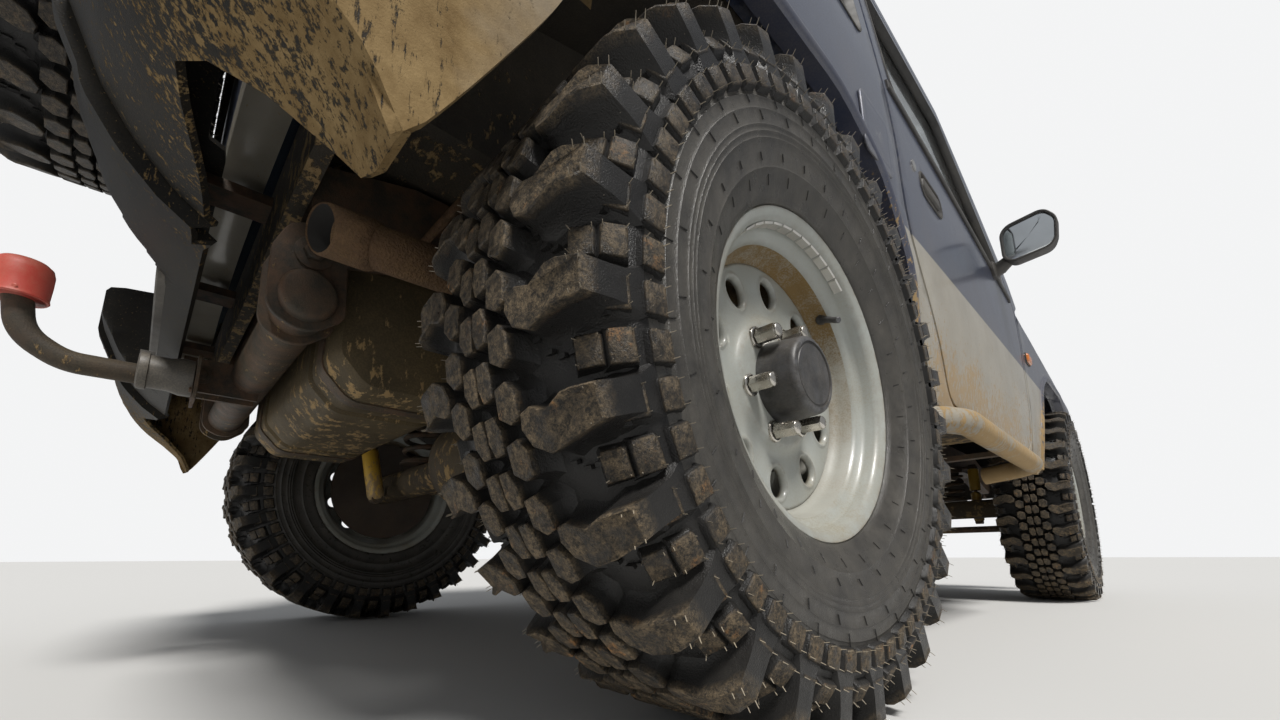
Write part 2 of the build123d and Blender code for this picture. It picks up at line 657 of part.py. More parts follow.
def rear_bumper():
    """Deep plastic rear bumper: corners run forward to the arches, the middle steps in for the plate."""
    half, top = BODY_HALF_WIDTH, BUMPER_TOP
    bend, out = half - 160, OUTSIDE_X
    outer = [(half, ARCH_END), (half, 600), (half - 50, 665), (bend, 700), (330, 705), (300, 595)]
    inner = [(half - 35, ARCH_END - 10), (half - 35, 590), (half - 70, 632), (bend, 664)]
    inner = inner + [(358, 668), (328, 560)]
    band = plan_prism(mirrored(outer), 430, top) - plan_prism(mirrored(inner), 425, top - 20)
    band = band - box(35 - half, half - 35, ARCH_END - 10, TAIL_SILL + CLEARANCE, 425, top + 5)
    under = [(out, 400), (out, 432), (half - 60, 432), (bend, 545), (480, 512)]
    band = band - front_prism([(-out, 380)] + mirrored(under)[::-1] + [(out, 380)], ARCH_END - 20, 720)
    roll = [(500, 380), (500, 430), (600, 550), (660, 620), (720, 660), (720, 380)]
    arch = [(ARCH_END - 20, 380), (ARCH_END - 20, top + 5), (ARCH_END + 5, top + 5), (390, 620)]
    arch = arch + [(500, 430), (500, 380)]
    band = band - side_prism(roll, -out, out) - side_prism(arch, -out, out)
    shelf = box(-TAILGATE_HALF_WIDTH, TAILGATE_HALF_WIDTH, TAIL_SILL + CLEARANCE, 612, top - 20, top)
    notch = box(-640, -480, 480, 720, 400, 606)
    return (band + shelf - notch).solids().sort_by(SortBy.VOLUME)[-1]


def front_bumper():
    """Front bumper bar with wrapped ends."""
    half, front = BODY_HALF_WIDTH, FRONT_AXLE - FRONT_OVERHANG
    outer = mirrored([(half, NOSE + 125), (half, NOSE + 25), (half - 90, NOSE - 55), (420, front)])
    inner = [(half - 35, NOSE + 130), (half - 35, NOSE + 45), (half - 110, NOSE - 20), (400, front + 38)]
    inner = mirrored(inner)
    bar = plan_prism(outer, 520, 680) - plan_prism(inner, 510, 665)
    bar = bar - box(-600, 600, NOSE + 35, NOSE + 185, 500, 700)
    arm = box(RAIL_INNER_X + 10, RAIL_OUTER_X - 10, front + 36, NOSE + 35 - CLEARANCE, 560, 640)
    return bar + arm + other_side(arm)


def engine():
    """Engine, gearbox and transfer box as one plain block on its mounting arms."""
    bell, y = FRONT_AXLE + 270, FRONT_AXLE - 100
    block = box(-230, 230, FRONT_AXLE - 370, bell, 560, 900)
    block = block + box(-130, 130, bell - 1, GEARBOX_END, GEARBOX_Z, 612)
    block = block + box(100, 230, GEARBOX_END - 100, GEARBOX_END, GEARBOX_Z, 600)
    arm = box(229, RAIL_INNER_X - CLEARANCE, y - 30, y + 30, 630, 690)
    return block + arm + other_side(arm)


def shafts():
    """Front and rear propeller shafts."""
    reach = DIFF_RADIUS + 40 + CLEARANCE
    rear = strut(0, GEARBOX_END + CLEARANCE, 545, -reach, AXLE_Z + 10, 30)
    front = strut(180, GEARBOX_END - 100 - CLEARANCE, 540, FRONT_AXLE + reach, AXLE_Z + 10, 26)
    return Compound([rear, front])


def axle_body(diff_x, half_length):
    """Axle tube with its differential casing about the X axis."""
    tube = ring_solid([(-half_length, AXLE_TUBE_RADIUS), (half_length, AXLE_TUBE_RADIUS)], 10)
    casing = [(-130, AXLE_TUBE_RADIUS), (-60, DIFF_RADIUS), (60, DIFF_RADIUS), (130, AXLE_TUBE_RADIUS)]
    casing = Pos(diff_x, 0, 0) * ring_solid(casing, 12)
    return tube + casing


def rear_axle():
    """Live rear axle with brake drums and nose for the propeller shaft."""
    hub_x = WHEEL_X + DISC_BACK_X - CLEARANCE
    body = axle_body(0, hub_x - 20)
    drum = ring_solid([(hub_x - 90, DRUM_RADIUS), (hub_x - 12, DRUM_RADIUS), (hub_x, 60.0)], 12)
    body = body + drum + other_side(drum)
    nose = Pos(0, -DIFF_RADIUS - 40, 10) * Rot(90, 0, 0) * extrude(RegularPolygon(48, 8), -80)
    lugs = axle_brackets(-1, 1)
    return Pos(0, at(0), AXLE_Z) * (body + nose + lugs)


def axle_brackets(arm_way, shock_way):
    """Brackets for the trailing arms and shock absorbers, the axle's centre at Y = 0."""
    found = []
    shock_reach = SHOCK_Y - SHOCK_RADIUS - CLEARANCE
    for x, half, way, reach in ((ARM_X, 16, arm_way, 60), (SHOCK_X, 12, shock_way, shock_reach)):
        tab = Pos(x, way * reach / 2, -28) * Box(2 * half, reach, 30)
        found = found + [tab, other_side(tab)]
    return found


def front_axle():
    """Live front axle ending in forked yokes around the kingpins."""
    end = KINGPIN_X - 62
    body = axle_body(180, end)
    fork = Pos(end - 11, 0, 0) * Box(22, YOKE_WIDTH, 210)
    ear = Pos((end + KINGPIN_X + 24) / 2, 0, 96.5) * Box(KINGPIN_X + 26 - end, YOKE_WIDTH, 17)
    yoke = fork + ear + Pos(0, 0, -193) * ear
    nose = Pos(180, DIFF_RADIUS + 40, 10) * Rot(90, 0, 0) * extrude(RegularPolygon(42, 8), 80)
    lugs = axle_brackets(1, -1)
    return Pos(0, at(FRONT_AXLE), AXLE_Z) * (body + yoke + other_side(yoke) + nose + lugs)


def knuckle(side):
    """Steering knuckle: kingpin post, hub carrier and the arm for the track rod."""
    half = 88 - CLEARANCE
    kingpin = Pos(KINGPIN_X, 0, -half) * extrude(RegularPolygon(KINGPIN_RADIUS, 10), 2 * half)
    face = WHEEL_X + DISC_BACK_X - CLEARANCE
    carrier = ring_solid([(KINGPIN_X + 10, 55.0), (face - 30, 105.0), (face - 12, 105.0), (face, 60.0)], 12)
    end_x, end_y = KINGPIN_X - STEER_ARM_X, STEER_ARM_Y
    z = -STEER_DROP
    arm = [(KINGPIN_X - 24, 0), (KINGPIN_X + 24, 0), (end_x + 18, end_y + 18), (end_x - 18, end_y + 18)]
    plate = prism([(x, y, z) for x, y in arm], (0, 0, 14))
    shape = kingpin + carrier + plate
    if side < 0:
        shape = other_side(shape)
    return Pos(0, at(FRONT_AXLE), AXLE_Z) * shape


def track_rod():
    """Rod between the steering arms, hung under them on two ball joints."""
    x = KINGPIN_X - STEER_ARM_X
    z = AXLE_Z - STEER_DROP - ROD_RADIUS - 12
    y = FRONT_AXLE + STEER_ARM_Y
    bar = rod((-x - 16, y, z), (x + 16, y, z), ROD_RADIUS)
    top = AXLE_Z - STEER_DROP - CLEARANCE
    joint = post(x, y, z, top, 10, 6)
    return (bar + joint + other_side(joint)).solids()[0]


def springs():
    """Coil springs between axle and rails: ridged columns, front and rear."""
    z0 = AXLE_Z + AXLE_TUBE_RADIUS + CLEARANCE
    z1 = RAIL_AXLE_Z - CLEARANCE
    pitch = (z1 - z0) / SPRING_TURNS
    sections = []
    for k in range(SPRING_TURNS):
        sections.append((z0 + k * pitch, SPRING_RADIUS - 14))
        sections.append((z0 + (k + 0.5) * pitch, SPRING_RADIUS))
    sections.append((z1, SPRING_RADIUS - 14))
    found = []
    for y in (0.0, FRONT_AXLE):
        coil = upright_ring_solid(SPRING_X, y, sections, 8)
        found = found + [coil, other_side(coil)]
    return Compound([s.solids()[0] for s in found])


def shocks():
    """Shock absorbers from the axles up to pins on the rails: (axle y, way along Y, lean)."""
    found = []
    for axle, way, lean in ((0.0, 1, 60), (FRONT_AXLE, -1, 0)):
        y0, y1, z1 = axle + way * SHOCK_Y, axle + way * (SHOCK_Y + lean), 640
        body = rod((SHOCK_X, y0, AXLE_Z - 60), (SHOCK_X, y1, z1), SHOCK_RADIUS, 10)
        pin = box(RAIL_OUTER_X + CLEARANCE, SHOCK_X, y1 - 8, y1 + 8, z1 - 26, z1 - 10)
        body = (body + pin).solids()[0]
        found = found + [body, other_side(body).solids()[0]]
    return Compound(found)


def arms():
    """Trailing arms from the axle brackets to pins on the rails: (axle y, way, length)."""
    found = []
    for axle, way, length in ((0.0, -1, 720), (FRONT_AXLE, 1, 760)):
        y0 = axle + way * (60 + CLEARANCE)
        y1 = axle + way * (60 + length)
        body = strut(ARM_X, y0, AXLE_Z - 28, y1, 520, ARM_RADIUS)
        pin = box(ARM_X, RAIL_INNER_X - CLEARANCE, y1 - way * 40, y1 - way * 10, 505, 530)
        body = (body + pin).solids()[0]
        found = found + [body, other_side(body).solids()[0]]
    return Compound(found)


def exhaust():
    """Exhaust from the engine, out under the right rail, to the tip behind the right rear wheel."""
    y = FRONT_AXLE
    front = [(-190, y + 290, 500), (-190, y + 390, 458), (-190, y + 710, 442), (-190, y + 770, 398)]
    front = front + [(-190, -1000, 398), (-250, -930, 410), (-490, -880, 410), (-525, -800, 420)]
    rear = [(-525, -300, 450), (-545, -90, 560), (-550, 90, 565), (-590, 300, 510)]
    rear = rear + [(-575, 420, 515), (-500, 520, 560)]
    line = pipe(front + rear, 25)
    muffler = strut(-190, y + 400, 458, y + 700, 443, 60, 10)
    front_hanger = box(-200, -180, y + 830, y + 870, 400, 430 - CLEARANCE)
    rear_hanger = box(-600, -580, 340, 356, 505, 630)
    rear_hanger = rear_hanger + box(-600, -RAIL_OUTER_X - CLEARANCE, 340, 356, 614, 630)
    return line + muffler + front_hanger + rear_hanger


def fuel_tank():
    """Fuel tank between the rails behind the axle."""
    outline = [(170, 470), (220, 425), (370, 425), (412, 470), (412, 625), (170, 625)]
    return side_prism(outline, -RAIL_INNER_X + CLEARANCE, RAIL_INNER_X - CLEARANCE)


def tow_bar():
    """Tow cross tube on rail brackets, with a neck that ends in the ball."""
    tube = rod((-420, 465, 505), (420, 465, 505), 32, 10)
    bracket = box(RAIL_INNER_X + 8, RAIL_OUTER_X - 8, 415, 500, 500, 620) - rail()
    neck = pipe([(0, 465, 505), (0, 560, 480), (0, 690, 480), (0, 735, 510), (0, 750, 578)], 17)
    rings = []
    for k in range(1, 6):
        tilt = math.pi * k / 6
        rings.append((590 - BALL_RADIUS * math.cos(tilt), BALL_RADIUS * math.sin(tilt)))
    ball = upright_ring_solid(0, 750, rings, 12)
    return tube + bracket + other_side(bracket) + neck + ball


def ball_cap():
    """Soft cap over the tow ball."""
    shell = upright_ring_solid(0, 750, [(562, 33), (612, 33), (622, 24)], 12)
    bore = BALL_RADIUS + CLEARANCE
    return shell - upright_ring_solid(0, 750, [(561, bore), (616, bore)], 12)


def trailer_socket():
    """Trailer socket beside the neck on its plate."""
    body = rod((-70, 545, 470), (-70, 612, 470), 30, 10)
    plate = box(-110, -17 - CLEARANCE, 535, 547, 430, 505)
    return body + plate


def corner_loop(x, y0, y1, radius):
    """Plan outline of a rectangle whose corners are rounded in two steps."""
    cut, step = radius * 0.29, radius
    right = [(x - step, y0), (x - cut, y0 + cut), (x, y0 + step)]
    right = right + [(x, y1 - step), (x - cut, y1 - cut), (x - step, y1)]
    return mirrored(right)


def roof_rack():
    """Roof basket: rounded top rail, lower frame, posts and slats."""
    x, y0, y1 = 600.0, -1000.0, 330.0
    z0, z1 = ROOF_EDGE_Z + ROOF_CROWN + 35, ROOF_EDGE_Z + ROOF_CROWN + 135
    side = 22.0
    rails = []
    for z in (z0, z1):
        outer = corner_loop(x, y0, y1, 90)
        inner = corner_loop(x - side, y0 + side, y1 - side, 90 - side)
        rails.append(plan_prism(outer, z, z + side) - plan_prism(inner, z, z + side))
    posts = []
    for k in range(3):
        y = y0 + 120 + k * (y1 - y0 - 240) / 2
        posts.append(box(x - side + 4, x - 4, y - 7, y + 7, z0 + 1, z1 + 1))
        posts.append(box(-x + side - 4, -x + 4, y - 7, y + 7, z0 + 1, z1 + 1))
        posts.append(box(-x + 4, x - 4, y - 15, y + 15, z0, z0 + 12))
    feet = []
    for y in (y0 + 160, y1 - 160):
        foot = box(x - 50, x - 6, y - 20, y + 20, ROOF_EDGE_Z + 15, z0 + 5) - roof()
        feet = feet + [foot, other_side(foot)]
    return (rails[0] + rails[1] + posts + feet)


def side_step():
    """Left side step tube, its ends turned in under the sill, with two brackets."""
    y0, y1 = DOOR_FRONT + 110, DOOR_REAR - 70
    x, z = BODY_HALF_WIDTH + 15, 462.0
    front = [(x - 150, y0 + 10, z - 10), (x - 40, y0 + 30, z), (x, y0 + 120, z)]
    rear = [(x, y1 - 120, z), (x - 40, y1 - 30, z), (x - 150, y1 - 10, z - 10)]
    tube = pipe(front + rear, 28)
    start = RAIL_OUTER_X + CLEARANCE
    bars = [box(start, x - 5, y - 15, y + 15, z + 20, z + 36) for y in (y0 + 220, y1 - 240)]
    return tube + bars


def dashboard():
    """Dashboard moulding under the windscreen, with the steering column."""
    half = BODY_HALF_WIDTH - WALL - 20
    front = COWL_FRONT + FLOOR_WALL + CLEARANCE
    y = COWL_FRONT
    outline = [(front, 900), (y + 220, 880), (y + 350, 950), (y + 330, 1045)]
    outline = outline + [(y + 130, 1075), (y + 120, 1040), (front, 1040)]
    column = ring_solid([(-190, COLUMN_RADIUS), (-30 - CLEARANCE, COLUMN_RADIUS)], 10)
    return side_prism(outline, -half, half) + place_steering(column)


# Seats: (middle x, hip y, width, cushion length, cushion top z, back height)
SEATS = [
    (-SEAT_X, SEAT_Y, 500, 470, 880, 560),
    (SEAT_X, SEAT_Y, 500, 470, 880, 560),
    (0, 70, 1060, 400, 960, 480),
]


def seat_cushions():
    """Soft seat cushions as plain wedges."""
    found = []
    for x, y, width, length, top, back in SEATS:
        outline = [(y - length, top - 130), (y - length + 10, top), (y, top - 30), (y, top - 130)]
        found.append(side_prism(outline, x - width / 2, x + width / 2))
    return Compound(found)


def seat_backs():
    """Soft seat backs, leaned back."""
    found = []
    for x, y, width, length, top, back in SEATS:
        outline = [(y + CLEARANCE, top - 60), (y + 120, top - 90)]
        outline = outline + [(y + 215, top + back), (y + 120, top + back + 10)]
        found.append(side_prism(outline, x - width / 2, x + width / 2))
    return Compound(found)


def seat_frames():
    """Seat bases between floor and cushion, with an upright behind each back."""
    found = []
    for x, y, width, length, top, back in SEATS:
        ground = FLOOR_TOP if y < PAN_STEP else REAR_FLOOR_Z + FLOOR_WALL
        seat_z = top - 130 - CLEARANCE
        base = box(x - width / 2 + 40, x + width / 2 - 40, y - length + 60, y + 60, ground, seat_z)
        found.append(base.solids()[0])
    return Compound(found)


def steering_wheel():
    """Three-spoke steering wheel about the X axis, later tilted to the column."""
    ring = ring_solid([(-11, 176), (0, 190), (11, 176)], 20) - ring_solid([(-12, 165), (12, 165)], 20)
    hub = ring_solid([(-30, 38), (10, 46)], 10)
    spokes = []
    for k in range(3):
        arm = Pos(-4, 100, 0) * Box(8, 150, 26)
        spokes.append(Rot(120 * k, 0, 0) * arm)
    return ring + hub + spokes


def place_steering(shape):
    """A piece about the X axis, set on the steering column's axis in front of the left seat."""
    lean = math.radians(STEER_TILT)
    along, across = (0, math.cos(lean), math.sin(lean)), (0, -math.sin(lean), math.cos(lean))
    return Plane(origin=(SEAT_X, at(STEER_Y), STEER_Z), x_dir=along, z_dir=across).location * shape


# Nodes: file name and shape
the_tyre = tyre()
the_rim = rim()
nodes = {
    "chassis_rails": both_sides(rail()),
    "crossmembers": crossmembers(),
    "engine_block": engine(),
    "propeller_shafts": shafts(),
    "rear_axle": rear_axle(),
    "front_axle": front_axle(),
    "coil_springs": springs(),
    "shock_absorbers": shocks(),
    "trailing_arms": arms(),
    "exhaust": exhaust(),
    "fuel_tank": fuel_tank(),
    "tow_bar": tow_bar(),
    "tow_ball_cap": ball_cap(),
    "trailer_socket": trailer_socket(),
    "rear_bumper": rear_bumper(),
    "front_bumper": front_bumper(),
    "floor": floor(),
    "side_panels": side_panels(),
    "roof": roof(),
    "cowl": cowl(),
    "fixed_glass": fixed_glass(),
    "front_wings": both_sides(front_wing()),
    "grille": grille(),
    "lamps": lamps(),
    "dashboard": dashboard(),
    "seat_cushions": seat_cushions(),
    "seat_backs": seat_backs(),
    "seat_frames": seat_frames(),
    "roof_rack": roof_rack(),
    "side_steps": both_sides(side_step()),
    "door_left": door(),
    "door_right": other_side(door()),
    "door_glass_left": glass_pane(DOOR_WINDOW),
    "door_glass_right": other_side(glass_pane(DOOR_WINDOW)),
    "mirror_left": mirror_head(),
    "mirror_right": other_side(mirror_head()),
    "tailgate": tailgate(),
    "tailgate_glass": tailgate_glass(),
    "spare_carrier": spare_carrier(),
    "spare_rim": place_spare(the_rim),
    "spare_tyre": place_spare(the_tyre),
    "bonnet": bonnet(),
    "fuel_flap": fuel_flap(),
    "knuckle_left": knuckle(1),
    "knuckle_right": knuckle(-1),
    "track_rod": track_rod(),
    "steering_wheel": place_steering(steering_wheel()),
}
for name, side, y in (
    ("front_left", 1, FRONT_AXLE),
    ("front_right", -1, FRONT_AXLE),
    ("rear_left", 1, 0.0),
    ("rear_right", -1, 0.0),
):
    nodes["rim_" + name] = place_wheel(the_rim, side, y)
    nodes["tyre_" + name] = place_wheel(the_tyre, side, y)

os.makedirs("parts", exist_ok=True)
for name, shape in nodes.items():
    export_step(shape, f"parts/{name}.step")
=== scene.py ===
import math

import bmesh
import bpy
from mathutils import Matrix, Vector


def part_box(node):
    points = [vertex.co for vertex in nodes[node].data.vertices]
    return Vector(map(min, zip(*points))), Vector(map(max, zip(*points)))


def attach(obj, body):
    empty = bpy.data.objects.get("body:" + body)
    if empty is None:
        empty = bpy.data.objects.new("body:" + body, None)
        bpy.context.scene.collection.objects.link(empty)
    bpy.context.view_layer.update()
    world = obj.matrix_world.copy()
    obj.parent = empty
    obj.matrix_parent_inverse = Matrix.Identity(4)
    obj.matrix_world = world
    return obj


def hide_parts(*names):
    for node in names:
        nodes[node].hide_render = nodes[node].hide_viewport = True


# Off-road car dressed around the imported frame. Metres; +X is the car's left, -Y its nose, +Z up.
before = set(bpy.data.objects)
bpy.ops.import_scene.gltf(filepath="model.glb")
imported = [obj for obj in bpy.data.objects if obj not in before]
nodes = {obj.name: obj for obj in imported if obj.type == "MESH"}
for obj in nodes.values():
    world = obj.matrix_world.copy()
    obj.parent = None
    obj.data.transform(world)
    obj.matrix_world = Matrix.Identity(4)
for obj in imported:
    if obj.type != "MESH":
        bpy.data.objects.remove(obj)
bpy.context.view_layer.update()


def middle(node):
    """Middle of a node's box."""
    low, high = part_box(node)
    return (low + high) / 2


# Places read from the frame
WHEELS = ("front_left", "front_right", "rear_left", "rear_right")
HUB = {name: middle("tyre_" + name) for name in WHEELS}
SPARE = middle("spare_tyre")
AXLE_Z = HUB["rear_right"].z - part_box("tyre_rear_right")[0].z
REAR_Y = HUB["rear_right"].y
FRONT_Y = HUB["front_right"].y


def mm(rows):
    """Numbers, or rows of numbers, turned from millimetres into metres."""
    return [mm(row) for row in rows] if isinstance(rows, (tuple, list)) else rows / 1000


# Which ends of a form are closed, and the mirror from the left side to the right
BOTH, OPEN, FIRST, LAST = (True, True), (False, False), (True, False), (False, True)
MIRRORED = Matrix.Scale(-1, 4, (1, 0, 0))


# Station of the front axle
FRONT_AXLE = -2.35


def at(y):
    """Y in the frame of a station measured from the rear axle."""

    return REAR_Y + y


def turns(count):
    """Angles that divide a full turn."""
    return [2 * math.pi * k / count for k in range(count)]


def circle(radius, count):
    """Points of a circle."""
    return [(radius * math.cos(a), radius * math.sin(a)) for a in turns(count)]


def rect(a, b, c, d, third):
    """Corners of a rectangle between (a, b) and (c, d), each with a third number such as its radius."""
    return [(a, b, third), (c, b, third), (c, d, third), (a, d, third)]


class Shell:
    """Points and faces gathered for one mesh, each point with a mark for dirt."""

    def __init__(self):
        self.points = []
        self.faces = []
        self.slots = []
        self.marks = []

    def add(self, points, faces, slot=0, marks=0.0):
        """Adds points and faces; marks is one value or one for each point."""
        first = len(self.points)
        self.points += [tuple(p) for p in points]
        self.marks += [marks] * len(points) if isinstance(marks, float) else list(marks)
        self.faces += [tuple(first + k for k in face) for face in faces]
        self.slots += [slot] * len(faces)

    def loft(self, rings, slot=0, caps=BOTH, marks=0.0):
        """Skin over matching rings of points; marks is one value or one for each ring."""
        count = len(rings[0])
        points = [p for ring in rings for p in ring]
        if not isinstance(marks, float):
            marks = [m for m in marks for _ in range(count)]
        faces = []
        for k in range(len(rings) - 1):
            for j in range(count):
                a, b = k * count + j, k * count + (j + 1) % count
                faces.append((a, b, b + count, a + count))
        if caps[0]:
            faces.append(tuple(range(count))[::-1])
        if caps[1]:
            last = (len(rings) - 1) * count
            faces.append(tuple(last + j for j in range(count)))
        self.add(points, faces, slot, marks)

    def block(self, low, high, slot=0):
        """Box between two opposite corners."""
        (x0, x1), (y0, y1), (z0, z1) = (sorted(ends) for ends in zip(low, high))
        self.loft([rect(x0, y0, x1, y1, z) for z in (z0, z1)], slot)

    def tube(self, line, radius, sides=12, slot=0, caps=BOTH, marks=0.0):
        """Round tube along points; radius is one value or one for each point."""
        line = [Vector(p) for p in line]
        radii = [radius] * len(line) if isinstance(radius, float) else radius
        ways = []
        for k in range(len(line)):
            ways.append((line[min(k + 1, len(line) - 1)] - line[max(k - 1, 0)]).normalized())
        start = Vector((0, 0, 1)) if abs(ways[0].z) < 0.9 else Vector((1, 0, 0))
        across = ways[0].cross(start).normalized()
        rings = []
        for point, way, r in zip(line, ways, radii):
            across = (across - way * across.dot(way)).normalized()
            other = way.cross(across)
            rings.append([point + across * a + other * b for a, b in circle(r, sides)])
        self.loft(rings, slot, caps, marks)

    def turned(self, profile, sides, slot=0, axis="X", centre=(0, 0, 0), caps=BOTH):
        """Turned shape of (along, radius) points about an axis through a centre."""
        rings = []
        for s, r in profile:
            places = [{"X": (s, a, b), "Y": (b, s, a), "Z": (a, b, s)}[axis] for a, b in circle(r, sides)]
            rings.append([Vector(p) + Vector(centre) for p in places])
        self.loft(rings, slot, caps)


def linked(name, mesh):
    """A mesh as an object in the scene."""
    obj = bpy.data.objects.new(name, mesh)
    bpy.context.scene.collection.objects.link(obj)
    return obj


def tidy_mesh(mesh, merge=1e-6):
    """Merges doubles and turns normals outward."""
    bm = bmesh.new()
    bm.from_mesh(mesh)
    bmesh.ops.remove_doubles(bm, verts=bm.verts, dist=merge)
    bmesh.ops.recalc_face_normals(bm, faces=bm.faces)
    bm.to_mesh(mesh)
    bm.free()


def shade(mesh, angle):
    """Smooth shading with edges sharper than the angle kept."""
    mesh.shade_smooth()
    mesh.set_sharp_from_angle(angle=math.radians(angle))


def built(name, shell, materials, angle=35):
    """One object from a shell."""
    mesh = bpy.data.meshes.new(name)
    mesh.from_pydata(shell.points, [], shell.faces)
    grime = mesh.attributes.new("grime", "FLOAT", "POINT")
    grime.data.foreach_set("value", shell.marks)
    for material in materials:
        mesh.materials.append(material)
    mesh.polygons.foreach_set("material_index", shell.slots)
    tidy_mesh(mesh)
    shade(mesh, angle)
    return linked(name, mesh)


def settled(obj, body, replaced=()):
    """Finishes a piece: bakes its modifiers and sets what it rides on and stands for."""
    if obj.modifiers:
        bake(obj)
    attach(obj, body)
    if replaced:
        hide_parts(*replaced)
    return obj


def piece(name, shell, materials, body, replaced=(), angle=40):
    """A finished piece straight from a shell."""
    return settled(built(name, shell, materials, angle), body, replaced)


def dressed(node, shell, materials):
    """A finished piece on the fixed body that stands for one solid."""
    return piece(node + "_dressed", shell, materials, "body", (node,))


def bake(obj):
    """Turns an object's modifiers into plain mesh."""

    graph = bpy.context.evaluated_depsgraph_get()
    mesh = bpy.data.meshes.new_from_object(obj.evaluated_get(graph), depsgraph=graph)
    mesh.name = obj.name
    obj.modifiers.clear()
    old = obj.data
    obj.data = mesh
    if old.users == 0:
        bpy.data.meshes.remove(old)
    return obj


def copied(obj, name, matrix):
    """A copy of a finished mesh in another place, turned the right way out."""
    mesh = obj.data.copy()
    mesh.transform(matrix)
    if matrix.determinant() < 0:
        mesh.flip_normals()
    return linked(name, mesh)


def opaque(socket, value):
    """A socket's value; a colour of three numbers gets its alpha."""
    return (*value, 1.0) if isinstance(value, tuple) and len(socket.default_value) > len(value) else value


class Tree:
    """Short way to write a node tree."""

    def __init__(self, tree):
        self.tree = tree

    def node(self, kind, inputs=None, **settings):
        """Adds a node; inputs are sockets to link or values to set."""
        made = self.tree.nodes.new(kind)
        for key, value in settings.items():
            setattr(made, key, value)
        for key, value in (inputs or {}).items():
            self.put(made.inputs[key], value)
        return made

    def math(self, operation, a, b=0.0, clamp=False):
        """Math on two values."""
        return self.node("ShaderNodeMath", {0: a, 1: b}, operation=operation, use_clamp=clamp).outputs[0]

    def times(self, a, b, clamp=False):
        """Product of two values."""
        return self.math("MULTIPLY", a, b, clamp)

    def plus(self, a, b):
        """Sum of two values."""
        return self.math("ADD", a, b)

    def put(self, socket, value):
        """Links an output to a socket, or sets the socket's own value."""
        if isinstance(value, bpy.types.NodeSocket):
            self.tree.links.new(value, socket)
        else:
            socket.default_value = opaque(socket, value)

    def feed(self, sockets, **values):
        """Links or sets sockets by name; underscores stand for spaces."""
        for key, value in values.items():
            self.put(sockets[key.replace("_", " ")], value)

    def group(self, tree, **values):
        """Places a group, links or sets its inputs and gives its outputs."""
        made = self.node("ShaderNodeGroup", node_tree=tree)
        self.feed(made.inputs, **values)
        return made.outputs

    def where(self):
        """Object coordinates."""
        return self.node("ShaderNodeTexCoord").outputs["Object"]

    def place(self, where):
        """X, Y and Z of a vector."""
        return self.node("ShaderNodeSeparateXYZ", {0: where}).outputs

    def spread(self, where, scale, detail, low, high, *ends):
        """Noise held between two values and mapped to 0 and 1 or to two ends."""
        return self.ramp(self.noise(where, scale, detail), low, high, *ends)

    def ramp(self, value, low, high, to_low=0.0, to_high=1.0):
        """Value mapped between two ranges and held at their ends."""
        inputs = {"Value": value, "From Min": low, "From Max": high, "To Min": to_low, "To Max": to_high}
        return self.node("ShaderNodeMapRange", inputs).outputs[0]

    def mix(self, share, a, b):
        """Mix of two colours."""
        return self.node("ShaderNodeMix", {0: share, 6: a, 7: b}, data_type="RGBA").outputs[2]

    def noise(self, where, scale, detail, roughness=0.55, stretch=None):
        """Noise value at a scale, stretched along axes if asked."""
        if stretch:
            where = self.node("ShaderNodeMapping", {"Vector": where, "Scale": stretch}).outputs[0]
        inputs = {"Vector": where, "Scale": scale, "Detail": detail, "Roughness": roughness}
        return self.node("ShaderNodeTexNoise", inputs).outputs["Fac"]


def group_tree(name, kind, inputs, outputs):
    """A node group with named sockets; each is (name, kind, value)."""
    tree = bpy.data.node_groups.new(name, kind)
    for label, socket, value in inputs:
        made = tree.interface.new_socket(name=label, in_out="INPUT", socket_type="NodeSocket" + socket)
        if value is not None:
            made.default_value = opaque(made, value)
    for label, socket in outputs:
        tree.interface.new_socket(name=label, in_out="OUTPUT", socket_type="NodeSocket" + socket)
    t = Tree(tree)
    start = t.node("NodeGroupInput")
    end = t.node("NodeGroupOutput")
    return t, start.outputs, end.inputs


def make_grain_group():
    """Fine surface relief: a soft swell with a fine grain on it."""
    inputs = [("Fine Scale", "Float", 900.0), ("Coarse Scale", "Float", 30.0),
        ("Coarse Share", "Float", 0.3)]
    t, given, out = group_tree("surface_grain", "ShaderNodeTree", inputs, [("Height", "Float")])
    where = t.where()
    fine = t.noise(where, given["Fine Scale"], 3.0)
    coarse = t.noise(where, given["Coarse Scale"], 4.0)
    share = t.times(coarse, given["Coarse Share"])
    t.feed(out, Height=t.plus(fine, share))
    return t.tree


